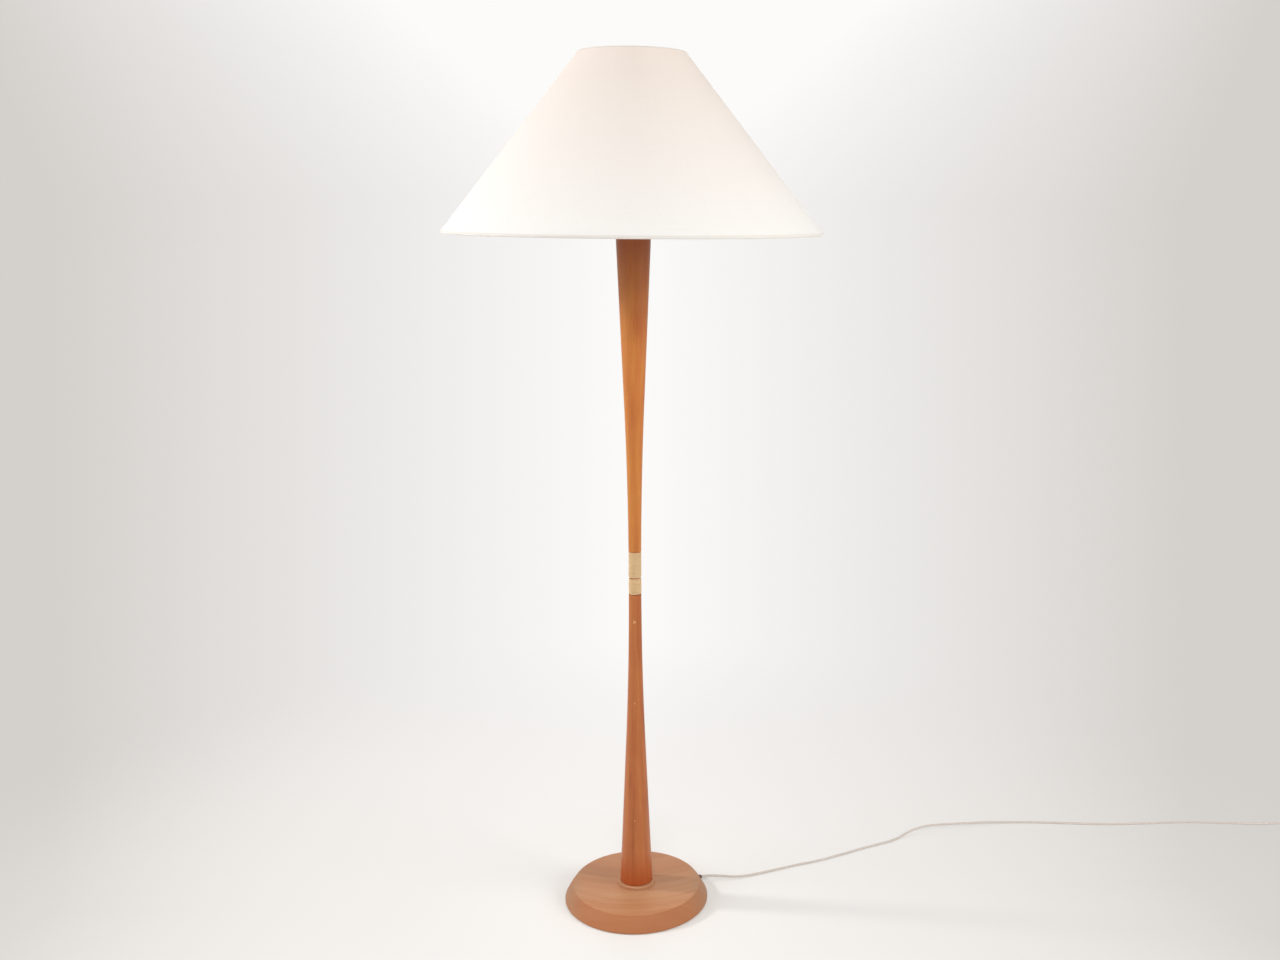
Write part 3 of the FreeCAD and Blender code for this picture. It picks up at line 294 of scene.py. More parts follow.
def mottled(name, base, roughness, second, pattern, spread, rough=None, bump=(0.0001, 0.3), skin=None,
            **sockets):
    """Finish with a second tone in clouds. Where there is a skin, that noise roughens and raises it instead."""
    finish = Finish(name, base, roughness, **sockets)
    clouds = finish.noise(*pattern)
    fine = clouds if skin is None else finish.noise(*skin)
    finish.paint(finish.over(base, second, clouds, *spread))
    if rough is not None:
        finish.roughen(fine, *rough)
    finish.raise_up(fine, *bump)
    return finish.material


def dress(material, *nodes):
    """Gives a finish to nodes that keep their own shape."""
    for name in nodes:
        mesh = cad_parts[name].data
        mesh.materials.clear()
        mesh.materials.append(material)


# ---- mesh helpers ----
def placed(name, data):
    """New object in the scene for a mesh, a curve, a light or a camera."""
    made = bpy.data.objects.new(name, data)
    bpy.context.scene.collection.objects.link(made)
    return made


def piece(name, mesh, material, body, slot, *nodes):
    """Links a finished mesh, and says what it rides on and which nodes it stands for. The slot is not used."""
    mesh.materials.clear()
    mesh.materials.append(material)
    made = placed(name, mesh)
    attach(made, body)
    if nodes:
        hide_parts(*nodes)
    return made


def mesh_of(shape, name):
    """Ends a bmesh as a new mesh with its normals outwards."""
    bmesh.ops.recalc_face_normals(shape, faces=shape.faces)
    mesh = bpy.data.meshes.new(name)
    shape.to_mesh(mesh)
    shape.free()
    return mesh


def mesh_from(name, build):
    """Mesh that build fills, with its doubles merged."""
    shape = bmesh.new()
    build(shape)
    bmesh.ops.remove_doubles(shape, verts=shape.verts, dist=1e-6)
    return mesh_of(shape, name)


def outwards(mesh, step=None):
    """Turns a mesh's normals outwards, after a step on its bmesh."""
    shape = bmesh.new()
    shape.from_mesh(mesh)
    if step is not None:
        step(shape)
    bmesh.ops.recalc_face_normals(shape, faces=shape.faces)
    shape.to_mesh(mesh)
    shape.free()
    return mesh


def smooth(mesh, degrees=35):
    mesh.polygons.foreach_set("use_smooth", [True] * len(mesh.polygons))
    mesh.set_sharp_from_angle(angle=math.radians(degrees))
    return mesh


def eased(points, radii, steps=6):
    """Outline (r, z) points with an arc of a given radius at each corner, closed."""
    outline = []
    count = len(points)
    for i in range(count):
        corner = Vector(points[i])
        back = (Vector(points[i - 1]) - corner).normalized()
        ahead = (Vector(points[(i + 1) % count]) - corner).normalized()
        if radii[i] <= 0 or back.dot(ahead) < -0.99999:
            outline.append(corner)
            continue
        half = (math.pi - back.angle(ahead)) / 2
        reach = radii[i] * math.tan(half)
        first = corner + back * reach
        last = corner + ahead * reach
        middle = corner + (back + ahead).normalized() * (radii[i] / math.cos(half))
        sweep = (first - middle).angle_signed(last - middle)
        for k in range(steps + 1):
            arm = (first - middle).copy()
            arm.rotate(Matrix.Rotation(-sweep * k / steps, 2))
            outline.append(middle + arm)
    return outline


def lathe(shape, outline, sides, centre=(0, 0, 0)):
    """Turns a closed outline of (r, z) about the upright axis through centre."""
    centre = Vector(centre)
    rings = []
    for radius, height in outline:
        if radius < 1e-7:
            rings.append([shape.verts.new(centre + Vector((0, 0, height)))] * sides)
            continue
        rings.append([
            shape.verts.new(centre + Vector((radius * math.cos(TURN * k / sides),
                                             radius * math.sin(TURN * k / sides), height)))
            for k in range(sides)])
    for ring, following in zip(rings, rings[1:] + rings[:1]):
        for k in range(sides):
            after = (k + 1) % sides
            corners = []
            for vert in (ring[k], ring[after], following[after], following[k]):
                if vert not in corners:
                    corners.append(vert)
            if len(corners) > 2:
                shape.faces.new(corners)


def turned_mesh(name, points, sides=96, steps=6):
    """Closed turned mesh from (r, z, rounding) corners in millimetres."""
    outline = eased([(p[0] * MM, p[1] * MM) for p in points],
                    [(p[2] if len(p) > 2 else 0) * MM for p in points], steps)
    return smooth(mesh_from(name, lambda shape: lathe(shape, outline, sides)))


def grown(name, material, shape, values):
    """Plain mesh from a geometry tree with the values as its named inputs.

    shape(tree, inputs) gives the geometry, which is then realized and gets the material.
    """
    tree = bpy.data.node_groups.new(name, "GeometryNodeTree")
    for label, value in values.items():
        kind = "NodeSocketInt" if isinstance(value, int) else "NodeSocketFloat"
        tree.interface.new_socket(label, in_out="INPUT", socket_type=kind)
    tree.interface.new_socket("Geometry", in_out="OUTPUT", socket_type="NodeSocketGeometry")
    made = shape(tree, put(tree, "NodeGroupInput").outputs)
    real = put(tree, "GeometryNodeRealizeInstances", {"Geometry": made}).outputs[0]
    done = put(tree, "GeometryNodeSetMaterial", {"Geometry": real, "Material": material}).outputs[0]
    put(tree, "NodeGroupOutput", {"Geometry": done})

    holder = placed(name + "_holder", bpy.data.meshes.new(name + "_holder"))
    modifier = holder.modifiers.new("Shape", "NODES")
    modifier.node_group = tree
    sockets = {item.name: item.identifier for item in tree.interface.items_tree
               if item.item_type == "SOCKET" and item.in_out == "INPUT"}
    for label, value in values.items():
        modifier[sockets[label]] = value
    bpy.context.view_layer.update()
    graph = bpy.context.evaluated_depsgraph_get()
    mesh = bpy.data.meshes.new_from_object(holder.evaluated_get(graph))
    mesh.name = name
    holder.modifiers.remove(modifier)
    bpy.data.objects.remove(holder)
    return mesh


# ---- wood ----
def column_finish(name, light, dark, seed):
    """Lacquered wood: fine fibres and broad bands along the column, mottled, with a few small worn spots, and
    painted shade at the top and at the foot.
    """
    wood = bpy.context.scene.lamp_wood
    finish = Finish(name, dark, 0.42, Coat_Weight=wood.lacquer, Coat_Roughness=0.34, Specular_IOR_Level=0.35)

    def upright(across, along, detail, distortion=0.0, move=(0, 0, 0)):
        return finish.noise(1.0, detail, distortion, stretch=(across, across, along), move=move)

    fibres = upright(1 / wood.fibre, 22, 2.0, 0.4)
    bands = upright(95, 3.2, 3.0, 0.65)
    pores = upright(900, 110, 1.0)
    clouds = upright(34, 9, 2.0, move=(seed, 0, seed))
    spots = upright(210, 90, 1.0, move=(0, seed, 0))
    height = split(finish.place)["Z"]
    top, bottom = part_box("column_upper")[1].z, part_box("column_lower")[0].z
    warm = tuple(part * k for part, k in zip(light, (1.08, 1.12, 1.15)))
    finish.paint(finish.layers(
        dark,
        (light, bands, 0.34, 0.68),
        (dark, fibres, 0.25, 0.75, 0.0, 0.32),
        (shade_of(dark, 0.55), pores, 0.64, 0.75, 0.0, 0.4),
        (warm, clouds, 0.35, 0.7, 0.0, 0.5),
        (tone(238, 190, 130), spots, 0.76, 0.80, 0.0, 0.6),
        # Painted shade: the top of the upper half darkens towards the lampshade's rim, where the shade's shadow
        # falls.
        (tone(112, 28, 13), height, top - 0.19, top - 0.02, 0.0, 0.68),
        # Painted shade and painted reflection: darker and redder near the foot, where the base shades the wood
        # and reflects its own colour onto it.
        (tone(170, 66, 20), height, bottom + 0.005, bottom + 0.07, 0.6, 0.0)))
    finish.roughen(fibres, 0.36, 0.50)
    finish.raise_up(fibres, 0.00002, 0.5)
    finish.raise_up(pores, 0.00001, 0.4)
    return finish.material


def disc_finish():
    """The base's boards: bent grain from left to right, the rear one darker and pinker, with painted light: a
    warmer front, a darker bevel and greyer left and right edges.
    """
    wood = bpy.context.scene.lamp_wood
    finish = Finish("DiscWood", wood.disc_dark, 0.52, Specular_IOR_Level=0.25)
    bend, joint, half_joint, seat = 2.2, 0.0150, 0.0015, 0.0065
    parts = split(finish.place)
    across = less(parts["Y"], times(maths("POWER", parts["X"], 2.0), bend))
    figure = join(parts["X"], across, parts["Z"])

    def lines(scale, detail, distortion):
        return finish.noise(1.0, detail, distortion, place=figure, stretch=scale)

    rings = lines((4.0, 62.0, 30.0), 2.0, 0.6)
    fibres = lines((28.0, 820.0, 500.0), 2.0, 0.3)
    pores = lines((120.0, 1000.0, 800.0), 1.0, 0.0)
    seam = less(1.0, times(1800.0, maths("ABSOLUTE", less(across, joint))))
    seam = put(finish.tree, "ShaderNodeClamp", {"Value": seam, "Max": 0.3}).outputs[0]
    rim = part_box("base_disc")[1].z - seat
    finish.paint(finish.layers(
        wood.disc_dark,
        (wood.disc_light, rings, 0.32, 0.66),
        (tone(176, 120, 88), across, joint - half_joint, joint + half_joint, 0.0, 0.45),
        (tone(136, 80, 52), seam, 0.0, 1.0),
        (wood.disc_dark, fibres, 0.25, 0.75, 0.0, 0.3),
        (tone(140, 84, 50), pores, 0.64, 0.75, 0.0, 0.3),
        # Painted light: the front of the disc is warmer and more orange, standing in for a weaker pale
        # reflection there.
        (tone(198, 120, 58), parts["Y"], -0.115, -0.02, 0.30, 0.0),
        # Painted shade: the bevel and edge under the top face are darker and redder than the top, standing in
        # for the top's paler reflection of the room.
        (tone(158, 84, 44), parts["Z"], rim - 0.0016, rim - 0.0002, 0.44, 0.0),
        # Painted reflection: greyer towards the left and right edges, standing in for the pale sheen at grazing
        # angles.
        (tone(162, 132, 106), maths("ABSOLUTE", parts["X"]), 0.100, 0.136, 0.0, 0.5)))
    finish.roughen(fibres, 0.50, 0.64)
    finish.raise_up(fibres, 0.00002, 0.5)
    finish.raise_up(pores, 0.00001, 0.4)
    return finish.material


def column_shape(tree, get):
    """Turned half of the column: each ring of a plain tube is set to its radius and distance.

    From the seam outwards, ring 0 is on the bore, 1 and 2 are on the core under the binding, then come the
    outside's rings and those round the end's edge, one on the bore, and the last one back at the seam.
    """
    first, main, round_end = 3, 120, 8
    last = first + main + round_end + 2
    tube = put(tree, "GeometryNodeMeshCylinder", {
        "Vertices": bpy.context.scene.lamp_column.sides, "Side Segments": last, "Radius": 1.0, "Depth": 1.0,
    }, fill_type="NONE").outputs["Mesh"]
    axes = split(put(tree, "GeometryNodeInputPosition").outputs[0])
    row = maths("ROUND", times(plus(axes["Z"], 0.5), float(last)))

    def since(ring):
        return maths("GREATER_THAN", row, ring - 0.5)

    def within(value, high):
        return maths("MINIMUM", maths("MAXIMUM", value, 0.0), high)

    def choose(switch, yes, no):
        return put(tree, "ShaderNodeMix", {0: switch, 2: no, 3: yes}, data_type="FLOAT").outputs[0]

    share = within(maths("DIVIDE", less(row, float(first)), float(main)), 1.0)
    bow = within(maths("DIVIDE", less(row, float(first + main)), float(round_end)), 1.0)
    bow = times(bow, math.pi / 2)
    travel = times(share, less(less(get["Length"], get["End Ease"]), get["Band"]))
    distance = plus(times(get["Band"], since(2)), travel)
    beyond = less(distance, get["Flare Start"])
    bent, bend = within(beyond, get["Flare Run"]), get["Flare Bend"]
    sagitta = less(bend, maths("SQRT", less(maths("POWER", bend, 2.0), maths("POWER", bent, 2.0))))
    straight = times(get["Slope"], maths("MAXIMUM", less(beyond, get["Flare Run"]), 0.0))
    outside = plus(get["Waist Radius"], plus(sagitta, straight))
    rounded = less(outside, times(get["End Ease"], less(1.0, maths("COSINE", bow))))
    distance = plus(distance, times(get["End Ease"], maths("SINE", bow)))
    distance = times(distance, less(1.0, since(last)))
    on_bore = maths("MAXIMUM", maths("LESS_THAN", row, 0.5), since(last - 1))
    radius = choose(on_bore, get["Bore Radius"], choose(since(first), rounded, get["Core Radius"]))
    height = plus(get["Seam Height"], times(get["Side"], distance))
    moved = join(times(axes["X"], radius), times(axes["Y"], radius), height)
    shaped = put(tree, "GeometryNodeSetPosition", {"Geometry": tube, "Position": moved}).outputs[0]
    return put(tree, "GeometryNodeMergeByDistance", {"Geometry": shaped, "Distance": 1e-6}).outputs[0]


class LAMP_OT_column(bpy.types.Operator):
    """Turn both halves of the column"""
    bl_idname = "lamp.column"
    bl_label = "Column"

    def execute(self, context):
        wood = context.scene.lamp_wood
        sizes = context.scene.lamp_column
        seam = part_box("column_lower")[1].z
        lower_wood = column_finish("LowerWood", wood.lower_light, wood.lower_dark, 3.1)
        upper_wood = column_finish("UpperWood", wood.upper_light, wood.upper_dark, 7.4)
        flare_run = sizes.flare_end - sizes.flare_start
        for node, side, band, material in (("column_lower", -1.0, sizes.lower_band, lower_wood),
                                           ("column_upper", 1.0, sizes.upper_band, upper_wood)):
            low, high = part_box(node)
            run = high.z - low.z
            slope = (sizes.end_radius - sizes.waist_radius) / (flare_run / 2 + run - sizes.flare_end)
            mesh = grown(node + "_turned", material, column_shape, {
                "Length": run, "Waist Radius": sizes.waist_radius, "Slope": slope,
                "Flare Bend": flare_run / math.sin(math.atan(slope)), "Flare Start": sizes.flare_start,
                "Flare Run": flare_run, "End Ease": sizes.end_ease, "Bore Radius": sizes.bore_radius,
                "Core Radius": sizes.core_radius, "Band": band, "Seam Height": seam, "Side": side,
            })
            piece(node + "_turned", smooth(outwards(mesh)), material, "stand", "column_wood", node)
        return {"FINISHED"}


class LAMP_OT_base(bpy.types.Operator):
    """Finish the base's disc and lay the felt under it"""
    bl_idname = "lamp.base"
    bl_label = "Base"

    def execute(self, context):
        dress(disc_finish(), "base_disc")
        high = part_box("base_felt")[1]
        wide, tall = high.x / MM, high.z / MM
        pad = turned_mesh("base_felt_pad", [(0, 0), (wide, 0, 0.35), (wide, tall, 0.3), (0, tall)], 192, 3)
        colour = context.scene.lamp_fittings.felt
        felt = mottled("Felt", colour, 0.95, shade_of(colour, 1.9), (1800.0, 4.0, 0.5, 0.7), (0.3, 0.7),
                       bump=(0.0003,), Sheen_Weight=0.4, Sheen_Roughness=0.6)
        piece("base_felt_pad", pad, felt, "stand", "felt", "base_felt")
        return {"FINISHED"}


# ---- binding ----
def strand_finish():
    """Pale fibres that run along the strand, which the tree names by its length and its turn."""
    settings = bpy.context.scene.lamp_binding
    finish = Finish("Strand", settings.tan, 0.62, Sheen_Weight=0.15)
    run, around = (put(finish.tree, "ShaderNodeAttribute", attribute_name=name).outputs["Fac"]
                   for name in ("run", "around"))
    fibres = finish.noise(1.0, 3.0, 0.2, place=join(times(run, 55.0), times(around, 9.0)))
    drift = finish.noise(1.0, 2.0, place=join(times(run, 9.0)))
    streaked = finish.over(settings.tan, settings.pale, fibres, 0.3, 0.7)
    finish.paint(finish.over(streaked, settings.pale, drift, 0.3, 0.7, 0.0, 0.4))
    finish.raise_up(fibres, 0.00008, 0.7)
    return finish.material


def strand_shape(tree, get):
    """One strand in a helix, its ends tucked in, with the run and the turn round it as attributes."""
    def marked(curve, name, value):
        inputs = {"Geometry": curve, "Name": name, "Value": value}
        return put(tree, "GeometryNodeStoreNamedAttribute", inputs, data_type="FLOAT",
                   domain="POINT").outputs[0]

    coil = put(tree, "GeometryNodeCurveSpiral", {
        "Resolution": 48, "Rotations": get["Turns"], "Start Radius": get["Wind Radius"],
        "End Radius": get["Wind Radius"], "Height": get["Height"]}).outputs["Curve"]
    spline = put(tree, "GeometryNodeSplineParameter").outputs
    axes = split(put(tree, "GeometryNodeInputPosition").outputs[0])
    from_end = maths("MINIMUM", spline["Factor"], less(1.0, spline["Factor"]))
    sink = times(remap(from_end, 0.0, 0.006, 1.0, 0.0, interpolation_type="SMOOTHSTEP"), get["Tuck"])
    shrink = less(1.0, maths("DIVIDE", sink, get["Wind Radius"]))
    height = plus(get["Start Height"], times(get["Side"], axes["Z"]))
    moved = join(times(axes["X"], shrink), times(axes["Y"], shrink), height)
    coil = put(tree, "GeometryNodeSetPosition", {"Geometry": coil, "Position": moved}).outputs[0]
    coil = marked(coil, "run", spline["Length"])
    section = put(tree, "GeometryNodeCurvePrimitiveCircle", {"Resolution": 14, "Radius": get["Strand Radius"]},
                  mode="RADIUS").outputs["Curve"]
    section = marked(section, "around", spline["Factor"])
    inputs = {"Curve": coil, "Profile Curve": section, "Fill Caps": True}
    return put(tree, "GeometryNodeCurveToMesh", inputs).outputs["Mesh"]


class LAMP_OT_binding(bpy.types.Operator):
    """Wind the pale strand round the waist"""
    bl_idname = "lamp.binding"
    bl_label = "Binding"

    def execute(self, context):
        settings = context.scene.lamp_binding
        sizes = context.scene.lamp_column
        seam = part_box("column_lower")[1].z
        end_gap, squeeze, tuck = 0.1 * MM, 0.19 * MM, 0.7 * MM
        material = strand_finish()
        for node, side, band, turns in (("binding_lower", -1.0, sizes.lower_band, settings.lower_turns),
                                        ("binding_upper", 1.0, sizes.upper_band, settings.upper_turns)):
            mesh = grown(node + "_strand", material, strand_shape, {
                "Turns": float(turns), "Wind Radius": settings.wind_radius,
                "Height": band - settings.seam_margin - end_gap - settings.strand,
                "Strand Radius": settings.strand / 2 + squeeze, "Side": side, "Tuck": tuck,
                "Start Height": seam + side * (settings.seam_margin + settings.strand / 2)})
            piece(node + "_strand", smooth(outwards(mesh), 60), material, "stand", "strand", node)
        return {"FINISHED"}


# ---- shade ----
def cone_frame():
    """Radius and height of the bottom and top edges, before they are rolled."""
    settings = bpy.context.scene.lamp_shade
    wide, narrow, tall = settings.bottom_radius, settings.top_radius, settings.height
    slant = math.hypot(wide - narrow, tall)
    spare = settings.hem_radius * ((tall + wide - narrow) / slant - 1)
    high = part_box("shade_hem_top")[1].z + spare
    return wide, high - tall, narrow, high


def cloth_finish(name, colour_low, colour_high):
    """Woven white cloth, turning cream towards the top as painted shade. Its own UV map is the flat cut in
    metres, so the threads run true.
    """
    finish = Finish(name, colour_low, 0.86, Sheen_Weight=0.12, Sheen_Roughness=0.5)
    flat = put(finish.tree, "ShaderNodeUVMap", uv_map="cut").outputs[0]
    parts = split(flat)
    rate = TURN / bpy.context.scene.lamp_shade.thread
    weave = times(*(maths("SINE", times(parts[axis], rate)) for axis in "XY"))
    threads = plus(*(finish.noise(1.0, 2.0, place=flat, stretch=stretch)
                     for stretch in ((700, 14, 1), (14, 700, 1))))
    low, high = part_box("shade_cover")
    # Painted shade: the cloth turns cream and darker towards the top, which gets less light.
    painted_top_shade = finish.over(colour_low, colour_high, split(finish.place)["Z"], low.z, high.z)
    finish.paint(finish.over(painted_top_shade, shade_of(colour_high, 0.8), threads, 0.75, 1.25, 0.0, 0.10))
    finish.raise_up(weave, 0.00003, 0.5)
    finish.raise_up(threads, 0.00004, 0.5)
    return finish.material


def cone_mesh(name, outer, inner, sides, lap):
    """Wall between two slanted lines, each ((r, z) low, (r, z) high), with a lap at the back."""
    apex_share = (outer[0][0] - outer[1][0]) / math.dist(outer[0], outer[1])
    rows = 12
    lap_proud = 0.35 * MM
    shape = bmesh.new()
    layer = shape.loops.layers.uv.new("cut")

    def point(line, row, step):
        share = row / rows
        radius = line[0][0] + (line[1][0] - line[0][0]) * share
        height = line[0][1] + (line[1][1] - line[0][1]) * share
        turn = TURN * step / sides + math.pi / 2
        off = (turn - math.pi / 2) * radius
        far = radius + (lap_proud if line is outer and off < lap else 0.0)
        return Vector((far * math.cos(turn), far * math.sin(turn), height)), radius, turn

    def sheet(line):
        return [[shape.verts.new(point(line, row, step)[0]) for step in range(sides)]
                for row in range(rows + 1)]

    def quad(corners, line, places):
        face = shape.faces.new(corners)
        for loop, (row, step) in zip(face.loops, places):
            _, radius, turn = point(line, row, step)
            reach, swing = radius / apex_share, turn * apex_share
            loop[layer].uv = (reach * math.cos(swing), reach * math.sin(swing))

    grids = sheet(outer), sheet(inner)
    for line, grid in zip((outer, inner), grids):
        for row in range(rows):
            for step in range(sides):
                after = (step + 1) % sides
                quad([grid[row][step], grid[row][after], grid[row + 1][after], grid[row + 1][step]], line,
                     [(row, step), (row, step + 1), (row + 1, step + 1), (row + 1, step)])
    for row in (0, rows):
        a, b = (grid[row] for grid in grids)
        for step in range(sides):
            after = (step + 1) % sides
            quad([a[step], a[after], b[after], b[step]], outer,
                 [(row, s) for s in (step, step + 1, step + 1, step)])
    return smooth(mesh_of(shape, name), 50)


class LAMP_OT_shade(bpy.types.Operator):
    """Make the shade's cloth, its lining and its rolled hems"""
    bl_idname = "lamp.shade"
    bl_label = "Shade"

    def execute(self, context):
        settings = context.scene.lamp_shade
        wide, low, narrow, high = cone_frame()
        slant = math.hypot(wide - narrow, high - low)
        inwards, upwards = (wide - narrow) / slant, (high - low) / slant

        def at(up_slant, depth):
            return (wide - up_slant * inwards - depth * upwards, low + up_slant * upwards - depth * inwards)

        edge = settings.hem_radius
        faces = [(at(edge, depth), at(slant - edge, depth)) for depth in (0.3 * MM, 0.98 * MM)]
        mesh = cone_mesh("shade_cover_cloth", *faces, settings.sides, settings.lap)
        cloth = cloth_finish("ShadeCloth", settings.cloth, settings.cream)
        cover = piece("shade_cover_cloth", mesh, cloth, "shade", "cloth", "shade_cover")
        # Painted shade: the rolled hems get a greyer cloth than the cover, standing in for the shade in the
        # rolls.
        hem_cloth = cloth_finish("HemCloth", tone(232, 229, 224), tone(230, 222, 213))
        for name, place in (("shade_hem_bottom", at),
                            ("shade_hem_top", lambda up, depth: at(slant - up, depth))):
            mesh = hem_mesh(name + "_roll", place, settings.sides)
            piece(mesh.name, mesh, hem_cloth, "shade", "cloth", name)
        enamel = context.scene.lamp_fittings.enamel
        dress(mottled("Lining", settings.lining, 0.55, tone(236, 228, 214), (40.0, 2.0), (0.3, 0.7, 0.0, 0.25),
                      (0.48, 0.62), (0.0002, 0.3)), "shade_liner")
        dress(mottled("WhiteEnamel", enamel, 0.35, tone(214, 208, 196), (260.0, 3.0), (0.35, 0.7, 0.0, 0.3),
                      (0.28, 0.45), (0.00008, 0.4), Coat_Weight=0.3),
              "shade_ring_top", "shade_ring_bottom", "shade_hub", "shade_arms")
        return {"FINISHED"}


def hem_mesh(name, place, sides):
    """Strip of cloth rolled round the edge. place gives (r, z) at a distance up the slant and a depth."""
    radius = bpy.context.scene.lamp_shade.hem_radius
    wall, outer_leg, inner_leg = 0.5 * MM, 4.0 * MM, 7.0 * MM
    outline = [place(outer_leg, -0.05 * MM), place(radius, -0.05 * MM)]
    steps = 10
    for k in range(steps + 1):
        turn = math.pi * k / steps
        outline.append(place(radius - radius * math.sin(turn), radius - radius * math.cos(turn)))
    outline += [place(inner_leg, 2 * radius), place(inner_leg, 2 * radius - wall)]
    inner = radius - wall
    for k in range(steps + 1):
        turn = math.pi * (1 - k / steps)
        outline.append(place(radius - inner * math.sin(turn), radius - inner * math.cos(turn)))
    outline.append(place(outer_leg, wall * 0.6))
    shape = bmesh.new()
    layer = shape.loops.layers.uv.new("cut")
    lathe(shape, outline, sides)
    bmesh.ops.remove_doubles(shape, verts=shape.verts, dist=1e-7)
    for face in shape.faces:
        for loop in face.loops:
            spot = loop.vert.co
            loop[layer].uv = (math.atan2(spot.y, spot.x) * 0.3, spot.z)
    return smooth(mesh_of(shape, name), 60)


# ---- metal, plastic and glass ----
def metal_finish(name, base, roughness, scale=900.0, tarnish=0.25):
    finish = Finish(name, base, roughness, Metallic=1.0)
    marks = finish.noise(scale, stretch=(1, 1, 6))
    clouds = finish.noise(scale / 18)
    finish.paint(finish.over(base, shade_of(base, 0.5), clouds, 0.4, 0.75, 0.0, tarnish))
    finish.roughen(marks, roughness - 0.08, roughness + 0.12)
    finish.raise_up(marks, 0.00001, 0.4)
    return finish.material


def moulded_finish(name, base, roughness):
    second = tuple(min(1.0, part * 0.82 + 0.004) for part in base)
    return mottled(name, base, roughness, second, (30.0, 2.0), (0.3, 0.7, 0.0, 0.2),
                   (roughness - 0.06, roughness + 0.08), (0.00004, 0.35), (420.0, 2.0))


def glass_finish(name, roughness, clear, scale, low, high):
    finish = Finish(name, tone(250, 249, 246), roughness, Transmission_Weight=clear, IOR=1.46)
    bloom = finish.noise(scale, 2.0)
    finish.roughen(bloom, low, high)
    finish.raise_up(bloom, 0.00003, 0.2)
    return finish.material


def rib_shape(tree, get):
    """Small bars in a ring."""
    ring = put(tree, "GeometryNodeMeshCircle", {"Vertices": get["Count"], "Radius": get["Radius"]}).outputs[0]
    middle = join(0.0, 0.0, plus(get["Low"], maths("DIVIDE", get["Height"], 2.0)))
    ring = put(tree, "GeometryNodeTransform", {"Geometry": ring, "Translation": middle}).outputs[0]
    bar = put(tree, "GeometryNodeMeshCylinder", {
        "Vertices": 10, "Radius": get["Rib"], "Depth": get["Height"]}).outputs["Mesh"]
    return put(tree, "GeometryNodeInstanceOnPoints", {"Points": ring, "Instance": bar}).outputs[0]


def ribbed(name, node, material, count, inset, lift, height, rib):
    """Ring of ribs set into the outside of a node."""
    low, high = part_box(node)
    return smooth(grown(name, material, rib_shape, {
        "Count": count, "Radius": high.x - inset, "Low": low.z + lift, "Height": height, "Rib": rib}))


class LAMP_OT_harp(bpy.types.Operator):
    """Finish the neck, the harp and the finial in brass"""
    bl_idname = "lamp.harp"
    bl_label = "Harp and finial"

    def execute(self, context):
        brass = metal_finish("Brass", context.scene.lamp_fittings.brass, 0.30)
        dress(brass, "neck_washer", "neck_sleeve", "neck_nut", "harp_saddle", "harp", "harp_stud", "finial")
        ribs = ribbed("finial_ribs", "finial", brass, 40, 0.25 * MM, 0.4 * MM, 1.5 * MM, 0.38 * MM)
        piece("finial_ribs", ribs, brass, "finial", "brass")
        return {"FINISHED"}


class LAMP_OT_holder(bpy.types.Operator):
    """Finish the lampholder and its switch"""
    bl_idname = "lamp.holder"
    bl_label = "Lampholder"

    def execute(self, context):
        fittings = context.scene.lamp_fittings
        bakelite = moulded_finish("Bakelite", fittings.bakelite, 0.26)
        dress(bakelite, "holder_cap", "holder_shell", "switch_key")
        dress(metal_finish("ContactBrass", fittings.brass, 0.26, 1300.0), "holder_sleeve",
              "holder_centre_contact", "holder_side_contact", "holder_screws", "switch_spindle")
        white = tone(238, 234, 226)
        dress(mottled("Porcelain", white, 0.16, tone(150, 140, 124), (1400.0, 1.0), (0.72, 0.78, 0.0, 0.5),
                      skin=(120.0,), Coat_Weight=0.6, Coat_Roughness=0.06), "holder_insert")
        grip = ribbed("holder_grip", "holder_shell", bakelite, 48, 0.1 * MM, 8.5 * MM, 8.0 * MM, 0.7 * MM)
        piece("holder_grip", grip, bakelite, "stand", "black_plastic")
        return {"FINISHED"}


class LAMP_OT_bulb(bpy.types.Operator):
    """Finish the bulb"""
    bl_idname = "lamp.bulb"
    bl_label = "Bulb"

    def execute(self, context):
        dress(metal_finish("BulbCap", tone(196, 196, 194), 0.28, 1100.0, 0.15), "bulb_cap", "bulb_contact")
        dress(moulded_finish("BlackGlass", tone(24, 22, 24), 0.14), "bulb_insulator")
        dress(glass_finish("FrostedGlass", 0.42, 0.9, 900.0, 0.36, 0.48), "bulb_glass")
        dress(glass_finish("StemGlass", 0.03, 1.0, 60.0, 0.02, 0.05), "bulb_stem")
        dress(metal_finish("FilamentWire", tone(120, 118, 116), 0.4, 2200.0), "bulb_filament")
        return {"FINISHED"}


class LAMP_OT_fixings(bpy.types.Operator):
    """Finish the tube, the weight and the screws that hold the lamp together"""
    bl_idname = "lamp.fixings"
    bl_label = "Fixings"

    def execute(self, context):
        fittings = context.scene.lamp_fittings
        dress(metal_finish("ZincedSteel", fittings.steel, 0.36), "tube_lower", "tube_upper", "tube_coupler",
              "rod_washer", "rod_nut", "base_weight_screws", "cord_clamp", "cord_clamp_screws")
        dress(mottled("CastIron", fittings.iron, 0.72, tone(88, 66, 52), (520.0, 4.0), (0.45, 0.75),
                      (0.6, 0.85), (0.0004, 0.6), Metallic=0.6), "base_weight")
        return {"FINISHED"}


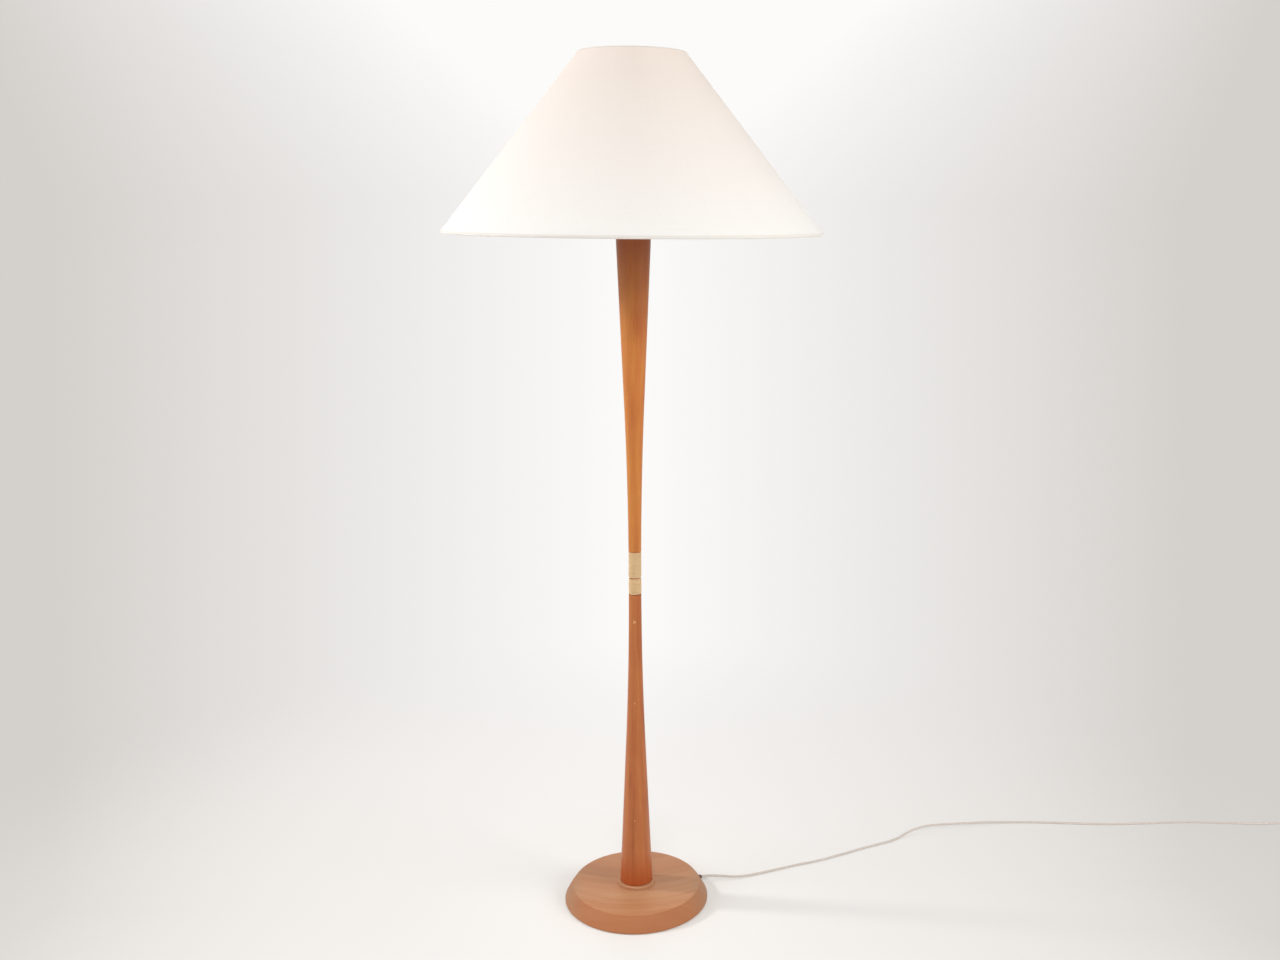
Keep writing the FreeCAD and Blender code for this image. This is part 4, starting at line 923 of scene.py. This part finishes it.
# ---- mains lead ----
# The course of the lead over the floor in metres, as the lamp's own solids have it.
COURSE = [
    (0.173, 0.0544, 0.0078), (0.199, 0.0564, 0.0046), (0.225, 0.0642, 0.0025), (0.251, 0.073, 0.0023),
    (0.293, 0.089, 0.0023), (0.331, 0.1038, 0.0023), (0.367, 0.114, 0.0023), (0.421, 0.1385, 0.0023),
    (0.474, 0.165, 0.0023), (0.518, 0.184, 0.0023), (0.546, 0.1965, 0.0023), (0.567, 0.2125, 0.003),
    (0.586, 0.2255, 0.0068), (0.606, 0.2335, 0.0106), (0.633, 0.2395, 0.0126), (0.669, 0.244, 0.012),
    (0.706, 0.2498, 0.01), (0.743, 0.2576, 0.007), (0.78, 0.2638, 0.0039), (0.817, 0.2656, 0.0024),
    (0.876, 0.2622, 0.0023), (0.937, 0.256, 0.0023), (0.998, 0.2484, 0.0023), (1.058, 0.2456, 0.0023),
    (1.117, 0.2472, 0.0023), (1.176, 0.2492, 0.0023), (1.235, 0.247, 0.0023), (1.293, 0.2396, 0.0023),
    (1.35, 0.2334, 0.0023), (1.403, 0.233, 0.0023),
]
EXIT_HEIGHT = 0.010
EXIT_TURN = math.radians(21.5)
EXIT_REACH = 0.1385
EXIT_RUN = 0.012
COIL_START = Vector((1.484, 0.236, 0.0))
COIL_OUTER = 0.0328
COIL_TURNS = 5.25
COIL_PITCH = 0.0052
COIL_LOW = 0.0032
COIL_HIGH = 0.0084
COIL_POINTS = 84
TAIL_RUN = 0.027
PLUG_HEADING = math.radians(96)
PLUG_HEIGHT = 0.00685
LAST_RUN = 0.030


def coil_point(turn):
    """Middle of the lead in the coil: two layers, wound in below and out above."""
    from_middle = (turn - COIL_TURNS / 2) * TURN
    rate = COIL_PITCH / TURN
    inner = COIL_OUTER - COIL_PITCH * COIL_TURNS / 2
    if abs(from_middle) < math.pi / 2:
        radius = inner + rate * (from_middle ** 2 / math.pi + math.pi / 4)
        share = (1 + math.sin(from_middle)) / 2
    else:
        radius = inner + rate * abs(from_middle)
        share = 1.0 if from_middle > 0 else 0.0
    swing = -math.pi / 2 + turn * TURN
    return radius, swing, COIL_LOW + share * (COIL_HIGH - COIL_LOW)


def plug_start():
    """Where the lead's straight end begins, and the way it heads."""
    radius, swing, _ = coil_point(COIL_TURNS)
    centre = COIL_START + Vector((0, COIL_OUTER, 0))
    last = centre + Vector((math.cos(swing), math.sin(swing), 0)) * radius
    heading = Vector((math.cos(PLUG_HEADING), math.sin(PLUG_HEADING), 0))
    return Vector((last.x + 0.35 * TAIL_RUN * heading.x, last.y + TAIL_RUN, PLUG_HEIGHT)), heading


def lead_points():
    """The lead's control points from the bush to the plug."""
    out = Vector((math.cos(EXIT_TURN), math.sin(EXIT_TURN), 0))
    first = out * EXIT_REACH + Vector((0, 0, EXIT_HEIGHT))
    points = [first, first + out * EXIT_RUN]
    points += [Vector(spot) for spot in COURSE]
    start = COIL_START + Vector((0, 0, COIL_LOW))
    points.append(start - Vector((LAST_RUN, 0, 0)))
    centre = COIL_START + Vector((0, COIL_OUTER, 0))
    step = COIL_TURNS / COIL_POINTS
    widen = 1 / math.cos(math.pi * step)
    for i in range(COIL_POINTS + 1):
        radius, swing, height = coil_point(i * step)
        points.append(centre + Vector((math.cos(swing), math.sin(swing), 0)) * radius * widen
                      + Vector((0, 0, height)))
    end, heading = plug_start()
    points += [end - heading * 0.008, end + heading * bpy.context.scene.lamp_lead.diameter]
    return points


def lead_finish(name, base):
    finish = Finish(name, base, 0.42)
    rub = finish.noise(90.0)
    finish.paint(finish.over(base, shade_of(base, 0.86), rub, 0.4, 0.7, 0.0, 0.3))
    finish.roughen(rub, 0.36, 0.52)
    finish.raise_up(finish.noise(700.0, 2.0), 0.00005, 0.3)
    return finish.material


class LAMP_OT_lead(bpy.types.Operator):
    """Lay the mains lead, coil its end and make its plug"""
    bl_idname = "lamp.lead"
    bl_label = "Lead"

    def execute(self, context):
        settings = context.scene.lamp_lead
        sleeve = lead_finish("LeadSleeve", settings.sleeve)
        points = lead_points()
        curve = bpy.data.curves.new("lead_free", "CURVE")
        curve.dimensions = "3D"
        line = curve.splines.new("NURBS")
        line.points.add(len(points) - 1)
        for spot, point in zip(line.points, points):
            spot.co = (*point, 1.0)
        line.order_u = 3
        line.use_endpoint_u = True
        line.resolution_u = 6
        curve.bevel_depth = settings.diameter / 2
        curve.bevel_resolution = 5
        curve.use_fill_caps = True
        curve.materials.append(sleeve)
        lead = placed("lead_free", curve)
        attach(lead, "stand")
        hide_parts("cord", "cord_coil")
        dress(moulded_finish("BushPlastic", settings.bush, 0.36), "cord_bush")
        dress(sleeve, "lead_inside")
        dress(moulded_finish("CoreSleeve", tone(92, 58, 40), 0.4), "lead_cores")
        made = [tie_piece(sleeve)] + plug_pieces()
        return {"FINISHED"}


def tie_piece(material):
    """Band round the coil's turns, with its ends lapped."""
    def flatten(shape):
        bmesh.ops.remove_doubles(shape, verts=shape.verts, dist=1e-6)
        bmesh.ops.dissolve_limit(shape, angle_limit=math.radians(1), verts=shape.verts, edges=shape.edges)

    mesh = outwards(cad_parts["cord_tie"].data.copy(), flatten)
    return piece("lead_tie", smooth(mesh, 40), material, "stand", "white_plastic", "cord_tie")


def loft(shape, rings):
    """Skins equal rings of points one after the other and closes both ends."""
    made = [[shape.verts.new(spot) for spot in ring] for ring in rings]
    count = len(made[0])
    for ring, following in zip(made, made[1:]):
        for k in range(count):
            shape.faces.new([ring[k], ring[(k + 1) % count], following[(k + 1) % count], following[k]])
    shape.faces.new(made[0][::-1])
    shape.faces.new(made[-1])


def plug_pieces():
    """Two-pin plug beside the coil: ribbed boot and flat body in one, pins with sleeves."""
    settings = bpy.context.scene.lamp_lead
    start, heading = plug_start()
    start = start + heading * settings.diameter
    side = Vector((-heading.y, heading.x, 0))
    sides, pin_apart = 40, 9.3

    def oval(distance, half_wide, half_thick, power):
        ring = []
        for k in range(sides):
            turn = TURN * k / sides
            c, s = math.cos(turn), math.sin(turn)
            across = half_wide * math.copysign(abs(c) ** (2 / power), c)
            up = half_thick * math.copysign(abs(s) ** (2 / power), s)
            ring.append(start + heading * distance * MM + side * across * MM + Vector((0, 0, up * MM)))
        return ring

    # Distance from the boot's mouth, half width, half thickness in millimetres, and how square it is.
    rings = [(0.0, 3.0, 3.0, 2.0), (0.4, 3.4, 3.4, 2.0)]
    for k in range(6):
        at = 2.0 + k * 3.1
        swell = 3.4 + 1.8 * at / 22
        rings += [(at + on, swell + out, swell + out, 2.0)
                  for on, out in ((0.0, 0.0), (0.3, -0.9), (1.3, -0.9), (1.6, 0.15))]
    rings += [(21.0, 5.2, 5.2, 2.0), (22.3, 6.6, 5.9, 2.6), (23.5, 7.4, 6.4, 3.4), (25.5, 8.3, 6.7, 4.5),
              (29.0, 10.0, 6.8, 5.5), (34.0, 12.9, 6.8, 6.0), (39.0, 15.6, 6.8, 6.5), (43.0, 17.0, 6.8, 7.0),
              (47.0, 17.6, 6.8, 7.5), (56.2, 17.6, 6.8, 8.0), (57.3, 17.3, 6.5, 7.5), (57.9, 16.6, 5.9, 7.0)]
    shell = smooth(mesh_from("plug_shell", lambda shape: loft(shape, [oval(*ring) for ring in rings])), 40)
    body = piece("plug_shell", shell, moulded_finish("PlugPlastic", settings.sleeve, 0.34), "stand",
                 "white_plastic", "plug_body")

    def pins(name, low, high, radius, tip):
        def build(shape):
            outline = [(radius, low), (radius, high - tip), (radius * 0.72, high - tip * 0.3),
                       (0.0, high), (0.0, low)]
            tilt = Vector((0, 0, 1)).rotation_difference(heading).to_matrix().to_4x4()
            for sign in (-1, 1):
                before = set(shape.verts)
                lathe(shape, [(r * MM, h * MM) for r, h in outline], 20)
                move = Matrix.Translation(start + side * sign * pin_apart * MM)
                bmesh.ops.transform(shape, matrix=move @ tilt,
                                    verts=[vert for vert in shape.verts if vert not in before])
        return smooth(mesh_from(name, build))

    metal = metal_finish("PinMetal", bpy.context.scene.lamp_fittings.brass, 0.24, 1500.0)
    tips = piece("plug_pin_tips", pins("plug_pin_tips", 57.0, 77.0, 2.0, 1.6), metal, "stand", "brass",
                 "plug_pins")
    sleeves = piece("plug_pin_sleeves", pins("plug_pin_sleeves", 57.4, 67.4, 2.15, 0.3),
                    moulded_finish("PinSleeve", tone(222, 216, 204), 0.4), "stand", "white_plastic")
    return [body, tips, sleeves]


# ---- stage ----
def pale_room(settings, sideways, onwards, distance, rise=None):
    """Colour of floor and room: brightest on the lamp's own line from front to back, fading to both sides."""
    onwards = plus(times(maths("ABSOLUTE", onwards), 0.97), distance)
    off = maths("DIVIDE", maths("ABSOLUTE", sideways), maths("MAXIMUM", onwards, 0.001))
    clear, edge = 0.0, 0.44
    if rise is not None:
        clear = times(maths("MAXIMUM", rise, 0.0), 1.3)
        edge = plus(times(clear, 0.3), edge)
    inputs = {0: remap(off, clear, edge), 6: rgba(settings.middle), 7: rgba(settings.sides)}
    return put(off.id_data, "ShaderNodeMix", inputs, data_type="RGBA").outputs[2]


def open_tree(data):
    """Emptied node tree of a material or world, with its rays and 1 where one looks at the room.

    The camera looks at it, and so does a shiny or clear surface.
    """
    data.use_nodes = True
    data.node_tree.nodes.clear()
    rays = put(data.node_tree, "ShaderNodeLightPath").outputs
    shiny = maths("MAXIMUM", rays["Is Glossy Ray"], rays["Is Transmission Ray"])
    return data.node_tree, rays, maths("MAXIMUM", rays["Is Camera Ray"], shiny)


def floor_finish(settings):
    """Pale floor that keeps the lamp's shadow and fades into the same white as the room."""
    material = bpy.data.materials.new("StudioFloor")
    tree, _, seen = open_tree(material)
    place = put(tree, "ShaderNodeTexCoord").outputs["Object"]
    parts = split(place)
    away = put(tree, "ShaderNodeVectorMath", {0: place}, operation="LENGTH").outputs["Value"]
    far = remap(away, 0.5, 1.6, settings.glow, 1.0, interpolation_type="SMOOTHSTEP")
    near = remap(away, 0.13, 0.40, 0.25, 1.0)
    pale = pale_room(settings, parts["X"], parts["Y"], 2.5)
    lit = put(tree, "ShaderNodeBsdfDiffuse", {"Color": rgba(settings.floor)}).outputs[0]
    glow = put(tree, "ShaderNodeEmission", {"Color": pale, "Strength": 1.0}).outputs[0]
    mixed = put(tree, "ShaderNodeMixShader", {0: times(times(far, near), seen), 1: lit, 2: glow}).outputs[0]
    put(tree, "ShaderNodeOutputMaterial", {"Surface": mixed})
    return material


def room(settings):
    """Dim, even light for the lamp and a pale background to look at, darker on the photographer's side."""
    world = bpy.data.worlds.new("StudioRoom")
    tree, rays, seen = open_tree(world)
    way = split(put(tree, "ShaderNodeTexCoord").outputs["Generated"])
    soft = put(tree, "ShaderNodeBackground", {"Color": rgba(tone(250, 249, 248)), "Strength": settings.ambient})
    behind = remap(way["Y"], -0.25, 0.35, settings.dark_side, 1.0)
    pale = put(tree, "ShaderNodeBackground", {
        "Color": pale_room(settings, way["X"], way["Y"], 0.0, way["Z"]),
        "Strength": maths("MAXIMUM", rays["Is Camera Ray"], behind)})
    mixed = put(tree, "ShaderNodeMixShader", {0: seen, 1: soft.outputs[0], 2: pale.outputs[0]}).outputs[0]
    put(tree, "ShaderNodeOutputWorld", {"Surface": mixed})
    return world


class LAMP_OT_stage(bpy.types.Operator):
    """Lay the floor and set the room's light, the lamps and the camera"""
    bl_idname = "lamp.stage"
    bl_label = "Stage"

    def execute(self, context):
        settings = context.scene.lamp_stage
        scene = context.scene
        scene.view_settings.view_transform = "Standard"
        floor_radius, floor_drop = 40.0, 0.0002
        floor_mesh = mesh_from("studio_floor", lambda shape: bmesh.ops.create_circle(
            shape, cap_ends=True, segments=96, radius=floor_radius))
        floor_mesh.materials.append(floor_finish(settings))
        floor = placed("studio_floor", floor_mesh)
        floor.location.z = -floor_drop
        scene.world = room(settings)

        for name, spot, aim, size, watts, tint in (
                ("left_lamp", (-3.2, -1.1, 2.1), (0, 0, 0.8), 2.0, 34.0, (255, 253, 251)),
                ("side_lamp", (-2.9, 0.5, 2.3), (0.2, 0, 0.4), 0.35, 44.0, (255, 253, 251)),
                ("right_lamp", (3.05, -1.5, 2.3), (0, 0, 0.8), 2.2, 68.0, (255, 252, 248)),
                ("front_lamp", (-0.2, -3.3, 2.9), (0, 0, 0.8), 1.8, 42.0, (255, 252, 248)),
                ("back_lamp", (0.2, 3.0, 2.7), (0, 0, 0.8), 2.2, 18.0, (252, 252, 255))):
            light = bpy.data.lights.new(name, "AREA")
            light.shape = "DISK"
            light.size = size
            light.energy = watts
            light.color = tone(*tint)
            lamp = placed(name, light)
            lamp.location = spot
            lamp.rotation_euler = (Vector(aim) - Vector(spot)).to_track_quat("-Z", "Y").to_euler()

        camera_data = bpy.data.cameras.new("photo_camera")
        camera_data.sensor_width = 36.0
        camera_data.lens = settings.focal
        camera_data.shift_x = settings.shift
        camera_data.clip_start = 0.05
        camera_data.clip_end = 100.0
        camera = placed("photo_camera", camera_data)
        camera.matrix_world = (Matrix.Translation((0, -settings.distance, settings.height))
                               @ Matrix.Rotation(-settings.yaw, 4, "Z")
                               @ Matrix.Rotation(math.pi / 2 - settings.pitch, 4, "X")
                               @ Matrix.Rotation(settings.roll, 4, "Z"))
        scene.camera = camera
        return {"FINISHED"}


OPERATORS = (LAMP_OT_stage, LAMP_OT_base, LAMP_OT_column, LAMP_OT_binding, LAMP_OT_shade, LAMP_OT_harp,
             LAMP_OT_holder, LAMP_OT_bulb, LAMP_OT_fixings, LAMP_OT_lead)


class LAMP_PT_pieces(bpy.types.Panel):
    """Lists the lamp's pieces and their settings"""
    bl_idname = "LAMP_PT_pieces"
    bl_label = "Floor Lamp"
    bl_space_type = "VIEW_3D"
    bl_region_type = "UI"
    bl_category = "Floor Lamp"

    def draw(self, context):
        for operator in OPERATORS:
            self.layout.operator(operator.bl_idname)
        for name, group in GROUPS.items():
            box = self.layout.box()
            for label in group.__annotations__:
                box.prop(getattr(context.scene, name), label)


def register():
    for group in GROUPS.values():
        bpy.utils.register_class(group)
    for name, group in GROUPS.items():
        setattr(bpy.types.Scene, name, bpy.props.PointerProperty(type=group))
    for operator in OPERATORS:
        bpy.utils.register_class(operator)
    bpy.utils.register_class(LAMP_PT_pieces)


def unregister():
    bpy.utils.unregister_class(LAMP_PT_pieces)
    for operator in reversed(OPERATORS):
        bpy.utils.unregister_class(operator)
    for name in GROUPS:
        delattr(bpy.types.Scene, name)
    for group in reversed(GROUPS.values()):
        bpy.utils.unregister_class(group)


def main():
    register()
    for operator in OPERATORS:
        family, verb = operator.bl_idname.split(".")
        getattr(getattr(bpy.ops, family), verb)()
    bpy.context.view_layer.update()
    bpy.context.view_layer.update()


if __name__ == "__main__":
    main()
